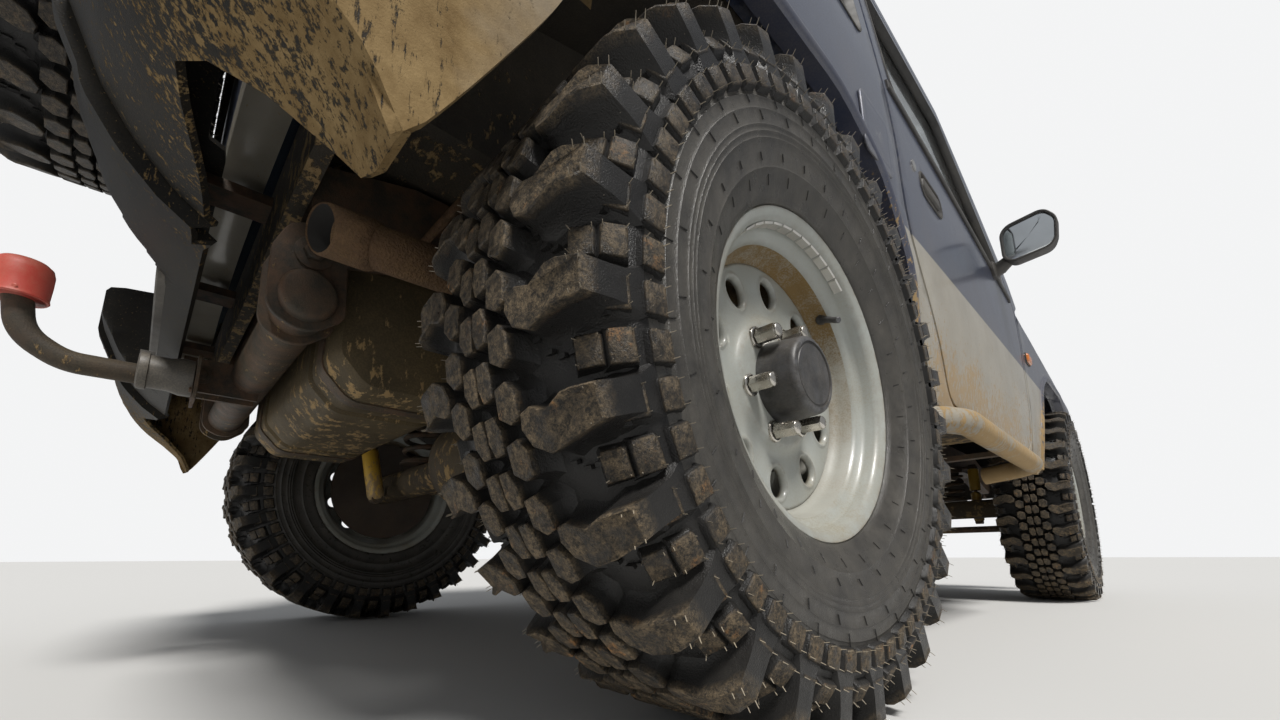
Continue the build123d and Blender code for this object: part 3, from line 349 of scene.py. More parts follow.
def make_dust_group():
    """Dry dust: heavier low down, on faces that look up and in patches."""
    inputs = [("Color", "Color", (0.1, 0.1, 0.1)), ("Dust Color", "Color", (0.33, 0.27, 0.18)),
        ("Amount", "Float", 0.4), ("Low", "Float", 0.3), ("High", "Float", 1.2), ("Scale", "Float", 5.0)]
    t, given, out = group_tree("dust", "ShaderNodeTree", inputs, [("Color", "Color"), ("Mask", "Float")])
    where = t.where()
    z = t.place(where)[2]
    up = t.node("ShaderNodeSeparateXYZ",
        {0: t.node("ShaderNodeNewGeometry").outputs["Normal"]}).outputs[2]
    height = t.ramp(z, given["High"], given["Low"], 0.15, 1.0)
    patches = t.ramp(t.noise(where, given["Scale"], 6.0, 0.65), 0.35, 0.68)
    specks = t.spread(where, 420.0, 2.0, 0.42, 0.62)
    lift = t.ramp(up, 0.0, 1.0, 0.75, 1.25)
    mask = t.times(t.times(height, lift), given["Amount"])
    mask = t.times(mask, t.ramp(patches, 0.0, 1.0, 0.35, 1.2))
    mask = t.times(mask, t.ramp(specks, 0.0, 1.0, 0.7, 1.15), True)
    t.feed(out, Color=t.mix(mask, given["Color"], given["Dust Color"]), Mask=mask)
    return t.tree


def make_mud_group():
    """Thrown mud: flecks that grow into a crust below a level."""
    inputs = [("Color", "Color", (0.1, 0.1, 0.1)), ("Mud Color", "Color", (0.27, 0.175, 0.075)),
        ("Amount", "Float", 0.5), ("Level", "Float", 0.6), ("Spread", "Float", 0.25),
        ("Scale", "Float", 60.0)]
    outputs = [("Color", "Color"), ("Mask", "Float"), ("Height", "Float")]
    t, given, out = group_tree("thrown_mud", "ShaderNodeTree", inputs, outputs)
    where = t.where()
    z = t.place(where)[2]
    top = t.plus(given["Level"], given["Spread"])
    low = t.math("SUBTRACT", given["Level"], given["Spread"])
    height = t.ramp(z, top, low)
    flecks = t.noise(where, given["Scale"], 5.0, 0.7, (1.0, 1.6, 0.7))
    drift = t.noise(where, 6.0, 3.0)
    limit = t.times(t.times(height, given["Amount"]), t.ramp(drift, 0.3, 0.7, 0.6, 1.2))
    edge = t.math("SUBTRACT", 0.78, t.times(limit, 0.55))
    mask = t.ramp(flecks, edge, t.plus(edge, 0.06))
    shadeful = t.mix(t.noise(where, 35.0, 5.0), given["Mud Color"], (0.36, 0.255, 0.125))
    t.feed(out, Color=t.mix(mask, given["Color"], shadeful), Mask=mask, Height=t.times(mask, flecks))
    return t.tree


def make_wear_group():
    """Wear: bare or rubbed colour on raised edges, broken up by noise."""
    inputs = [("Color", "Color", (0.1, 0.1, 0.1)), ("Wear Color", "Color", (0.3, 0.3, 0.3)),
        ("Amount", "Float", 0.5), ("Scale", "Float", 40.0)]
    t, given, out = group_tree("edge_wear", "ShaderNodeTree", inputs,
        [("Color", "Color"), ("Mask", "Float")])
    where = t.where()
    edge = t.ramp(t.node("ShaderNodeNewGeometry").outputs["Pointiness"], 0.505, 0.56)
    broken = t.ramp(t.noise(where, given["Scale"], 6.0, 0.7), 0.4, 0.62)
    mask = t.times(t.times(edge, broken), given["Amount"], True)
    t.feed(out, Color=t.mix(mask, given["Color"], given["Wear Color"]), Mask=mask)
    return t.tree


GRAIN = make_grain_group()
DUST = make_dust_group()
MUD = make_mud_group()
WEAR = make_wear_group()


def new_material(name):
    """A material with its tree, its surface shader's inputs and its Object coordinates."""
    material = bpy.data.materials.new(name)
    material.use_nodes = True
    t = Tree(material.node_tree)
    surface = material.node_tree.nodes["Principled BSDF"].inputs
    where = t.where()
    return material, t, surface, where


def bumped(t, surface, height, strength, distance):
    """Joins a height to the shader through a bump."""
    inputs = {"Height": height, "Strength": strength, "Distance": distance}
    t.feed(surface, Normal=t.node("ShaderNodeBump", inputs).outputs[0])


def finish_material(name, base, rough, metallic=0.0, grain=(900.0, 30.0, 0.3), bump=(0.3, 0.0004),
        wear=None, dust=None, mud=None, vary=0.15, coat=0.0, specular=0.5):
    """Shared build of painted, plastic and cast finishes.

    wear is (colour, amount, scale); dust is (colour, amount, low, high, scale);
    mud is (amount, level, spread, scale).
    """
    material, t, surface, where = new_material(name)
    t.feed(surface, Metallic=metallic, Coat_Weight=coat, Coat_Roughness=0.12, Specular_IOR_Level=specular)
    tone = t.noise(where, 4.0, 5.0)
    darker = tuple(c * (1 - vary) for c in base)
    lighter = tuple(min(1.0, c * (1 + vary)) for c in base)
    colour = t.mix(t.ramp(tone, 0.3, 0.7), darker, lighter)
    roughness = t.spread(where, 23.0, 5.0, 0.3, 0.7, max(0.05, rough - 0.09), min(1.0, rough + 0.09))
    height = t.group(GRAIN, Fine_Scale=grain[0], Coarse_Scale=grain[1], Coarse_Share=grain[2])["Height"]
    if wear:
        found = t.group(WEAR, Color=colour, Wear_Color=wear[0], Amount=wear[1], Scale=wear[2])
        colour = found["Color"]
    if dust:
        found = t.group(DUST, Color=colour, Dust_Color=dust[0], Amount=dust[1], Low=dust[2], High=dust[3],
            Scale=dust[4])
        colour = found["Color"]
        roughness = t.math("MAXIMUM", roughness, t.ramp(found["Mask"], 0.0, 0.7, 0.0, 0.85))
    if mud:
        found = t.group(MUD, Color=colour, Amount=mud[0], Level=mud[1], Spread=mud[2], Scale=mud[3])
        colour = found["Color"]
        roughness = t.math("MAXIMUM", roughness, t.times(found["Mask"], 0.9))
        height = t.plus(height, t.times(found["Height"], 4.0))
    t.feed(surface, Base_Color=colour, Roughness=roughness)
    bumped(t, surface, height, bump[0], bump[1])
    return material


DRY_DUST = (0.34, 0.29, 0.21)


def rubber_material(name, walled):
    """Tyre rubber: worn brown grit on lug tops and dark flanks, or the wall's dried film."""
    material, t, surface, where = new_material(name)
    grime = t.node("ShaderNodeAttribute", attribute_name="grime").outputs["Fac"]
    black = t.mix(t.spread(where, 7.0, 6.0, 0.35, 0.65), (0.008, 0.008, 0.0085), (0.02, 0.0195, 0.019))
    t.feed(surface, Specular_IOR_Level=0.5 if walled else 0.28)
    found = t.group(DUST, Color=black, Dust_Color=(0.07, 0.062, 0.05), Amount=0.15, Low=0.05, High=0.9,
        Scale=14.0)
    coarse = t.plus(t.times(t.noise(where, 150.0, 7.0, 0.78), 0.6),
        t.times(t.noise(where, 560.0, 4.0, 0.8), 0.4))
    grit = t.mix(t.ramp(coarse, 0.44, 0.6), (0.028, 0.024, 0.019), (0.255, 0.19, 0.115))
    crumbs = t.ramp(t.noise(where, 31.0, 5.0, 0.7), 0.6, 0.68)
    grit = t.mix(t.times(crumbs, t.ramp(coarse, 0.45, 0.6)), grit, (0.46, 0.22, 0.07))
    broken = t.ramp(t.noise(where, 40.0, 6.0, 0.7), 0.36, 0.55, 0.18, 1.0)
    low = t.ramp(t.place(where)[2], 0.8, 0.05, 0.42, 1.0)
    share = t.times(t.times(t.ramp(grime, 0.5, 0.85), broken), low, True)
    film = t.ramp(t.noise(where, 22.0, 6.0, 0.7), 0.25, 0.75, 0.1, 0.85)
    rubbed = t.mix(film, found["Color"], (0.085, 0.078, 0.066)) if walled else found["Color"]
    t.feed(surface, Base_Color=t.mix(share, rubbed, grit))
    rough = t.spread(where, 60.0, 4.0, 0.3, 0.7, 0.24, 0.46)
    t.feed(surface, Roughness=t.math("MAXIMUM", rough, t.ramp(share, 0.0, 0.6, 0.0, 0.66)))
    fine = t.group(GRAIN, Fine_Scale=700.0, Coarse_Scale=55.0, Coarse_Share=0.7)["Height"]
    rough_top = t.times(t.times(coarse, share), 5.0)
    bumped(t, surface, t.plus(fine, rough_top), 0.6, 0.0012)
    return material


RUBBER = rubber_material("tyre_rubber", False)
RUBBER_WALL = rubber_material("tyre_wall", True)
HAIR = finish_material("rubber_hair", (0.2, 0.175, 0.14), 0.6, dust=((0.4, 0.33, 0.22), 0.5, 0.1, 1.2,
    40.0))
RIM_PAINT = finish_material("wheel_paint", (0.33, 0.355, 0.345), 0.38, grain=(500.0, 25.0, 0.5), coat=0.2,
    dust=((0.24, 0.19, 0.1), 0.55, 0.15, 1.0, 9.0), wear=((0.12, 0.08, 0.05), 0.6, 60.0))
# Barrel paint that turns a darker ochre from hub height up to the top of the barrel
RIM_OCHRE_ABOVE = finish_material("wheel_paint_ochre_above", (0.32, 0.325, 0.295), 0.5, grain=(420.0, 22.0, 0.6),
    dust=((0.165, 0.105, 0.036), 1.7, 0.56, 0.33, 13.0), vary=0.2)
CHROME = finish_material("nut_chrome", (0.62, 0.6, 0.56), 0.22, metallic=1.0, bump=(0.25, 0.0003),
    dust=((0.26, 0.19, 0.11), 0.45, 0.2, 0.8, 40.0))
LEAD = finish_material("weight_metal", (0.66, 0.66, 0.64), 0.42, metallic=0.7, bump=(0.4, 0.0005),
    dust=((0.3, 0.22, 0.11), 0.4, 0.2, 1.0, 50.0))
CAP_PLASTIC = finish_material("cap_plastic", (0.013, 0.0145, 0.018), 0.42, grain=(800.0, 40.0, 0.4),
    dust=((0.22, 0.19, 0.15), 0.35, 0.2, 0.9, 20.0), wear=((0.16, 0.17, 0.19), 0.5, 50.0))

# Tread, unrolled: v across the tyre, u round it, h the height above the hub
PITCHES = 29
PITCH = 2 * math.pi * AXLE_Z / PITCHES
LUG_TOP = AXLE_Z - 0.0003
HAIR_RADIUS = 0.00055
TREAD_BASE = mm(((0, 388.5), (60, 385), (90, 379), (108, 369), (119, 357), (124.5, 344)))
SIDEWALL = mm(((126.2, 334), (126.8, 325), (125.5, 323), (125.9, 313), (127.1, 311.5), (126, 310),
    (126.2, 300), (127.5, 298), (126.2, 296), (125, 284), (126.2, 282.2), (124.7, 280.5), (124.3, 277.5),
    (125.4, 275.7), (123.8, 274), (122.8, 271), (123.9, 269.2), (122, 267.5), (119.5, 258), (115, 244),
    (115.8, 241), (113.5, 239), (107.5, 227), (102, 217), (98.5, 209.5), (95, 208.5)))
# Wall face, (radius, distance from the middle)
WALL_FACE = mm(((208, 95), (227, 107.5), (244, 115.2), (258, 119.6), (278, 124.6), (300, 126.3),
    (334, 126.4)))
# Outlines of the blocks in millimetres, (v, u), and how far the lug's top drops at each v
LUG = ((51, 1), (54, -11), (66, -14), (84, -8), (104, -16), (113, -17), (128, -17), (128, 9), (113, 14),
    (104, 17), (80, 23), (60, 15))
LUG_HEIGHTS = mm(((0, 0), (104, 0), (113, 2.2), (128, 12.5)))
INNER_BLOCK = ((25, -13), (40, -16), (51, -6), (50, 13), (38, 17), (24, 10))
CENTRE_BLOCK = ((2, -15), (14, -16), (22, -4), (20, 14), (6, 16), (1, 4))
# How far the wall on the car's side is drawn in at each radius, to pass the track rod at full lock
INNER_WALL_DRAW = mm(((205, 0), (225, 7), (252, 13), (262, 12), (280, 5), (300, 0)))


def along(table, x):
    """Value read off a table of (x, value) by straight runs."""
    for (x0, a), (x1, b) in zip(table, table[1:]):
        if x <= x1:
            return a + (b - a) * (x - x0) / (x1 - x0)
    return table[-1][1]


def round_tread(v, u, h):
    """Point of the unrolled tread on the tyre, about the X axis."""
    turn = u / AXLE_Z
    return (v, h * math.cos(turn), h * math.sin(turn))


def grown(outline, amount):
    """Outline pushed outward by an amount; corners keep their count."""
    result = []
    count = len(outline)
    area = sum(outline[k - 1][0] * outline[k][1] - outline[k][0] * outline[k - 1][1]
        for k in range(count))
    way = 1 if area > 0 else -1
    for k in range(count):
        before, here, after = Vector(outline[k - 1]), Vector(outline[k]), Vector(outline[(k + 1) % count])
        a, b = (here - before).normalized(), (after - here).normalized()
        normal = (Vector((a.y, -a.x)) + Vector((b.y, -b.x))) * way
        length = max(normal.length, 0.8)
        result.append(here + normal.normalized() * (amount * 2 / length))
    return result


def tread_block(shell, outline, way, u0, heights=((0.0, 0.0), (0.2, 0.0))):
    """Rubber block with drafted flanks that sweep out into the groove; way is 1 or -1 across the tyre."""
    rows = ((-0.0013, 0.0, 1.0), (0.0, -0.0012, 0.8), (0.001, -0.5, 0.3), (0.003, -0.8, 0.1),
        (0.0068, -0.95, 0.0), (0.0125, -1.12, 0.0))
    rings = []
    for spread, drop, _ in rows:
        ring = []
        for v, u in grown([(a * 0.001, b * 0.001) for a, b in outline], spread):
            v = min(v, 0.1288)
            top = LUG_TOP - along(heights, v)
            base = along(TREAD_BASE, min(abs(v), 0.1245))
            h = top + drop if drop > -0.1 else top + (top - base) * drop
            ring.append(round_tread(way * v, way * u + u0, h))
        rings.append(ring)
    shell.loft(rings, caps=FIRST, marks=[row[2] for row in rows])


def hair(shell, foot, way, length):
    """Thin rubber whisker."""
    shell.tube([foot, Vector(foot) + Vector(way) * length], [HAIR_RADIUS, HAIR_RADIUS * 0.7], 3, 1,
        caps=LAST, marks=1.0)


def side_block(shell, way, u0, r, v, lean, size, height=0.0085):
    """Square block on the shoulder or sidewall with a whisker at each corner."""
    turn = u0 / AXLE_Z
    radial = Vector((0, math.cos(turn), math.sin(turn)))
    round_way = Vector((0, -math.sin(turn), math.cos(turn)))
    out = Vector((way * math.cos(lean), 0, 0)) + radial * math.sin(lean)
    up = round_way.cross(out)
    centre = Vector((way * v, 0, 0)) + radial * r
    rings = []
    for spread, lift in ((-0.0012, height), (0.0, height - 0.001), (0.0012, 0.001), (0.0035, -0.004)):
        half, tall = size[0] / 2 + spread, size[1] / 2 + spread
        raised = centre + out * lift
        corners = ((-1, -0.8), (-0.8, -1), (1, -1), (1, 1), (-0.8, 1), (-1, 0.8))
        rings.append([raised + round_way * (a * half) + up * (b * tall) for a, b in corners])
    shell.loft(rings, caps=FIRST, marks=[0.75, 0.6, 0.1, 0.0])
    raised = centre + out * (height - 0.001)
    for a in (-0.78, 0.78):
        for b in (-0.78, 0.78):
            foot = raised + round_way * (a * size[0] / 2) + up * (b * size[1] / 2)
            hair(shell, foot, out + up * 0.3 * b, 0.0065)


def tread_pitch():
    """One pitch of the tread and shoulders on both halves of the tyre."""
    shell = Shell()
    for way, shift in ((1, 0.0), (-1, PITCH / 2)):
        tread_block(shell, LUG, way, shift, LUG_HEIGHTS)
        for k in (-1, 1):
            tread_block(shell, INNER_BLOCK, way, shift + k * PITCH / 4)
        for k in (0, 2):
            tread_block(shell, CENTRE_BLOCK, way, shift + k * PITCH / 4)
        for k in (0, 1):
            u0 = shift + k * PITCH / 2
            side_block(shell, way, u0, 0.3585, 0.1175, 0.52, (0.026, 0.021))
            side_block(shell, way, u0, 0.3285, 0.1262, 0.06, (0.025, 0.022), 0.0065)
            if k:
                side_block(shell, way, u0, 0.3735, 0.103, 0.95, (0.024, 0.02), 0.007)
        for k in range(6):
            v = 0.056 + 0.011 * k
            u = way * (0.042 - 3.0 * (v - 0.082) ** 2 / 0.1) + shift
            base = along(TREAD_BASE, v)
            ring = [(0.0, -0.0018), (0.009, -0.0018), (0.009, 0.0018), (0.0, 0.0018)]
            low = [round_tread(way * (v + a), u + b, base - 0.001) for a, b in ring]
            high = [round_tread(way * (v + a), u + b, base + 0.0032) for a, b in ring]
            shell.loft([high, low], caps=FIRST, marks=0.35)
        for r, u, length in ((0.303, 0.01, 0.016), (0.2865, -0.02, 0.01), (0.248, 0.004, 0.008),
                (0.225, -0.028, 0.01)):
            line = []
            for reach in (0.0, 0.5, 1.0):
                turn = (u + shift + 0.004 * reach) / AXLE_Z
                rise = r + length * reach
                v = along(WALL_FACE, rise) + 0.0006
                line.append((way * v, rise * math.cos(turn), rise * math.sin(turn)))
            shell.tube(line, 0.0007, 3)
        for v, u in ((0.12, -0.014), (0.127, -0.014), (0.12, 0.01), (0.127, 0.008)):
            foot = round_tread(way * v, way * u + shift, LUG_TOP - along(LUG_HEIGHTS, v) - 0.001)
            out = Vector((way * 0.4, foot[1], foot[2])).normalized()
            hair(shell, foot, out, 0.0075 if v > 0.123 else 0.0065)
    return shell


def spread_tree(name, turning):
    """Geometry node tree that repeats a piece round the X axis or along a step."""
    inputs = [("Geometry", "Geometry", None), ("Count", "Int", 8), ("Start", "Float", 0.0),
        ("Step", "Vector", (0.0, 0.0, 0.0)), ("Finish", "Material", None)]
    t, given, out = group_tree(name, "GeometryNodeTree", inputs, [("Geometry", "Geometry")])
    points = t.node("GeometryNodeMeshLine",
        {"Count": given["Count"], "Offset": (0.0, 0.0, 0.0)}).outputs[0]
    index = t.node("GeometryNodeInputIndex").outputs[0]
    if turning:
        step = t.math("DIVIDE", 2 * math.pi, given["Count"])
        turn = t.plus(t.times(index, step), given["Start"])
        rotation = t.node("FunctionNodeEulerToRotation",
            {0: t.node("ShaderNodeCombineXYZ", {0: turn}).outputs[0]})
        inputs = {"Points": points, "Instance": given["Geometry"], "Rotation": rotation.outputs[0]}
    else:
        steps = t.node("ShaderNodeVectorMath", {0: given["Step"], "Scale": index},
            operation="SCALE").outputs[0]
        points = t.node("GeometryNodeSetPosition", {"Geometry": points, "Offset": steps}).outputs[0]
        inputs = {"Points": points, "Instance": given["Geometry"]}
    made = t.node("GeometryNodeInstanceOnPoints", inputs).outputs[0]
    made = t.node("GeometryNodeRealizeInstances", {0: made}).outputs[0]
    made = t.node("GeometryNodeSetMaterial", {"Geometry": made, "Material": given["Finish"]}).outputs[0]
    t.feed(out, Geometry=made)
    return t.tree


RING_OF = spread_tree("ring_of_copies", True)
ROW_OF = spread_tree("row_of_copies", False)


def repeated(obj, tree, material, **values):
    """Runs a repeating tree on a piece and keeps the result as plain mesh."""
    modifier = obj.modifiers.new("repeat", "NODES")
    modifier.node_group = tree
    sockets = {item.name: item.identifier for item in tree.interface.items_tree if item.in_out == "INPUT"}
    modifier[sockets["Finish"]] = material
    for key, value in values.items():
        modifier[sockets[key]] = value
    return bake(obj)


def joined(name, pieces):
    """Several objects as one, keeping their materials."""
    shell_mesh = bpy.data.meshes.new(name)
    bm = bmesh.new()
    materials = []
    for obj in pieces:
        offset = {}
        for k, material in enumerate(obj.data.materials):
            if material not in materials:
                materials.append(material)
            offset[k] = materials.index(material)
        first = len(bm.faces)
        bm.from_mesh(obj.data)
        bm.faces.ensure_lookup_table()
        for face in bm.faces[first:]:
            face.material_index = offset.get(face.material_index, 0)
    bm.to_mesh(shell_mesh)
    bm.free()
    for material in materials:
        shell_mesh.materials.append(material)
    for obj in pieces:
        mesh = obj.data
        bpy.data.objects.remove(obj)
        bpy.data.meshes.remove(mesh)
    return linked(name, shell_mesh)


def make_tyre():
    """The whole tyre about the X axis, outer side at +X."""
    pitch = tread_pitch()
    parts = []
    for slot, material in ((0, RUBBER), (1, HAIR)):
        part = Shell()
        part.points, part.marks = pitch.points, pitch.marks
        part.faces = [f for f, s in zip(pitch.faces, pitch.slots) if s == slot]
        part.slots = [0] * len(part.faces)
        obj = built("tread_part", part, [material], 40)
        bm = bmesh.new()
        bm.from_mesh(obj.data)
        bmesh.ops.delete(bm, geom=[v for v in bm.verts if not v.link_faces], context="VERTS")
        bm.to_mesh(obj.data)
        bm.free()
        parts.append(repeated(obj, RING_OF, material, Count=PITCHES, Start=0.0))
    half = [(v, r) for v, r in TREAD_BASE[1:]] + list(SIDEWALL)
    profile = [(-v, r) for v, r in reversed(half)] + [TREAD_BASE[0]] + half
    profile = [(-0.088, 0.2085)] + profile + [(0.088, 0.2085)]
    inner = [(0.086, 0.212), (0.108, 0.25), (0.112, 0.32), (0.07, 0.36)]
    profile = profile + inner + [(-v, r) for v, r in reversed(inner)] + [(-0.088, 0.2085)]
    carcass = Shell()
    carcass.turned(profile, 4 * PITCHES, caps=OPEN)
    for k, face in enumerate(carcass.faces):
        point = [sum(carcass.points[p][j] for p in face) / len(face) for j in range(3)]
        carcass.slots[k] = 1 if abs(point[0]) > 0.09 and math.hypot(point[1], point[2]) < 0.335 else 0
    parts.append(built("carcass", carcass, [RUBBER, RUBBER_WALL], 50))
    tyre = joined("tyre_pattern", parts)
    for vertex in tyre.data.vertices:
        if vertex.co.x < -0.08:
            vertex.co.x += along(INNER_WALL_DRAW, math.hypot(vertex.co.y, vertex.co.z))
    return tyre


# Wheel, about the X axis with its outer side at +X
LIP = mm(((30, 165.5), (34, 169.5), (44, 173.5), (58, 176.5), (64, 181), (67.5, 187.5), (74, 190.5),
    (84, 191.5), (89.5, 194.5), (92.5, 199), (95, 204.5), (95.8, 207), (94.5, 208.4), (91.5, 208),
    (90, 205), (88, 199), (85, 195.5), (74, 194), (64.5, 191.5), (60, 184), (50, 179), (30, 174.5)))
NUT_CIRCLE = 0.06985
HOLES = 10
HOLE_MIDDLE = 0.13
PAD = mm(((0, 40), (79, 40), (83.5, 39.2), (88, 34.5), (92.5, 31.5), (98, 30)))
FLANGE = mm(((161, 30), (164, 29.2), (166.2, 26.5), (166.8, 15)))


def hole_loop(turn, spread, x):
    """Egg-shaped loop round one hole of the disc, the narrow end to the hub."""
    loop = []
    for a in turns(20):
        wide = 0.016 * (1 + 0.16 * math.cos(a)) + spread
        radial = HOLE_MIDDLE + (0.0186 + spread) * math.cos(a)
        sideways = wide * math.sin(a)
        loop.append((x, radial * math.cos(turn) - sideways * math.sin(turn), radial * math.sin(turn) +
            sideways * math.cos(turn)))
    return loop


def circle_loop(x, r, sides):
    """Loop of points about the X axis."""
    return [(x, a, b) for a, b in circle(r, sides)]


def filled(loops):
    """Flat form between closed loops as (points, faces)."""
    bm = outlined(loops)
    bm.verts.index_update()
    points = [tuple(v.co) for v in bm.verts]
    faces = [tuple(v.index for v in f.verts) for f in bm.faces]
    bm.free()
    return points, faces


def make_rim():
    """Steel wheel: barrel with rolled lips and holed disc."""
    barrel = Shell()
    inner = [(-x, r) for x, r in reversed(LIP)]
    loop = LIP + [(-0.02, 0.1705)] + inner + [(-0.02, 0.1625), LIP[0]]
    barrel.turned(loop, 96, caps=OPEN)
    for k, face in enumerate(barrel.faces):
        x = sum(barrel.points[p][0] for p in face) / 4
        r = math.hypot(*[sum(barrel.points[p][j] for p in face) / 4 for j in (1, 2)])
        barrel.slots[k] = 1 if x < 0.066 and r < 0.1785 else 0
    parts = [built("barrel", barrel, [RIM_PAINT, RIM_OCHRE_ABOVE], 50)]
    disc = Shell()
    disc.loft([circle_loop(x, max(r, 0.001), 60) for r, x in PAD], caps=FIRST)
    disc.loft([circle_loop(x, r, 60) for r, x in FLANGE], caps=OPEN)
    loops = [circle_loop(PAD[-1][1], PAD[-1][0], 60), circle_loop(FLANGE[0][1], FLANGE[0][0], 60)]
    for k in range(HOLES):
        turn = 2 * math.pi * (k + 0.5) / HOLES
        rows = ((0.0112, 0.0), (0.0092, 0.0005), (0.007, 0.0018), (0.005, 0.002), (0.003, 0.0006),
            (0.0008, -0.0035), (0.0, -0.0075))
        rings = [hole_loop(turn, spread, FLANGE[0][1] + lift) for spread, lift in rows]
        disc.loft(rings, caps=OPEN)
        loops.append(rings[0])
    points, faces = filled(loops)
    disc.add(points, faces)
    plate = built("disc", disc, [RIM_PAINT], 60)
    tidy_mesh(plate.data, 2e-5)
    parts.append(walled(plate, 0.0035))
    return joined("rim_pattern", parts)


def make_hub():
    """Hub cap, six long nuts, valve and adhesive weights."""
    cap = Shell()
    cap.turned(mm(((38, 53), (40.5, 54.5), (60, 52.5), (83, 50.5), (88.5, 49), (91, 45.5), (91.2, 42.5),
        (89.3, 41.8), (89.3, 39.5), (90.3, 38.5), (91, 2))), 64)
    nut = Shell()
    nut.turned(mm(((39, 14.5), (42.5, 14.2), (43.2, 12))), 24, centre=(0, NUT_CIRCLE, 0), caps=OPEN)
    nut.turned(mm(((43, 11), (69, 11), (71.5, 9.8))), 6, centre=(0, NUT_CIRCLE, 0), caps=OPEN)
    nut.turned(mm(((70, 9.4), (73, 8.8), (74.5, 6), (75, 1))), 18, centre=(0, NUT_CIRCLE, 0))
    ring = built("nut", nut, [CHROME], 25)
    rounded(ring, 0.0005, 25)
    nuts = repeated(ring, RING_OF, CHROME, Count=6, Start=math.radians(15))
    weights = Shell()
    for k in range(11):
        turn = math.radians(58 + 7.2 * k)
        half = math.radians(3.25)
        ends = []
        for a in (turn - half, turn - half * 0.9, turn + half * 0.9, turn + half):
            lift = 0.0022 if abs(a - turn) < half * 0.95 else 0.0012
            rows = ((0.0755, 0.1912), (0.0765, 0.1912 - lift), (0.0865, 0.192 - lift), (0.0878, 0.1922))
            ends.append([(x, r * math.cos(a), r * math.sin(a)) for x, r in rows])
        weights.loft(ends)
    valve = Shell()
    turn = math.radians(47)
    foot = Vector((0.05, 0.1745 * math.cos(turn), 0.1745 * math.sin(turn)))
    way = Vector((0.8, -0.6 * math.cos(turn), -0.6 * math.sin(turn))).normalized()
    valve.tube([foot - way * 0.004, foot, foot + way * 0.004, foot + way * 0.018, foot + way * 0.03],
        mm([8, 8.2, 5.5, 4.8, 4]), 14)
    valve.tube([foot + way * 0.03, foot + way * 0.0305, foot + way * 0.04, foot + way * 0.041],
        mm([3.6, 4.7, 4.7, 3.6]))
    parts = [built("cap", cap, [CAP_PLASTIC], 40), nuts, built("weights", weights, [LEAD], 30)]
    parts.append(built("valve", valve, [CAP_PLASTIC], 40))
    return joined("hub_pattern", parts)


def rounded(obj, width, angle):
    """Bevels an object's sharp edges as plain mesh."""
    bevel = obj.modifiers.new("edges", "BEVEL")
    bevel.width = width
    bevel.segments = 2
    bevel.limit_method = "ANGLE"
    bevel.angle_limit = math.radians(angle)
    bevel.harden_normals = False
    bake(obj)
    shade(obj.data, 40)


def walled(obj, thickness):
    """Gives a skin its wall, on its inner side."""
    wall = obj.modifiers.new("wall", "SOLIDIFY")
    wall.thickness = thickness
    wall.offset = -1.0
    return bake(obj)


def cut(bm, axis, place, nearness):
    """Cuts a mesh along a plane square to an axis."""
    point, normal = [0, 0, 0], [0, 0, 0]
    point[axis], normal[axis] = place, 1
    geometry = bm.verts[:] + bm.edges[:] + bm.faces[:]
    bmesh.ops.bisect_plane(bm, geom=geometry, plane_co=point, plane_no=normal, dist=nearness)


def outlined(loops, **settings):
    """Flat mesh between closed loops of points, holes left open."""
    bm = bmesh.new()
    for loop in loops:
        verts = [bm.verts.new(p) for p in loop]
        for k in range(len(verts)):
            bm.edges.new((verts[k - 1], verts[k]))
    bmesh.ops.triangle_fill(bm, edges=bm.edges[:], use_beauty=True, **settings)
    return bm


def place_wheels():
    """Tyre, rim and hub on the four hubs and on the tailgate."""
    patterns = {"tyre": (make_tyre(), "tyre"), "rim": (make_rim(), "wheel_paint"),
        "hub": (make_hub(), "wheel_paint")}
    spots = [("spare", "tailgate", Matrix.Translation(SPARE) @ Matrix.Rotation(math.pi / 2, 4, "Z"))]
    for name in WHEELS:
        turn = Matrix.Rotation(0.0 if "left" in name else math.pi, 4, "Z")
        spots.append((name, "wheel_" + name, Matrix.Translation(HUB[name]) @ turn))
    for kind, (pattern, slot) in patterns.items():
        for name, body, matrix in spots:
            replaced = {"tyre": "tyre_" + name, "rim": "rim_" + name, "hub": None}[kind]
            if name == "spare" and replaced:
                replaced = "spare_" + kind
            obj = copied(pattern, f"{kind}_{name}_dressed", matrix)
            for vert in obj.data.vertices if name == "spare" else ():
                vert.co.y = min(vert.co.y, SPARE.y + 0.1278)
            settled(obj, body, (replaced,) if replaced else ())
        bpy.data.objects.remove(pattern)


place_wheels()

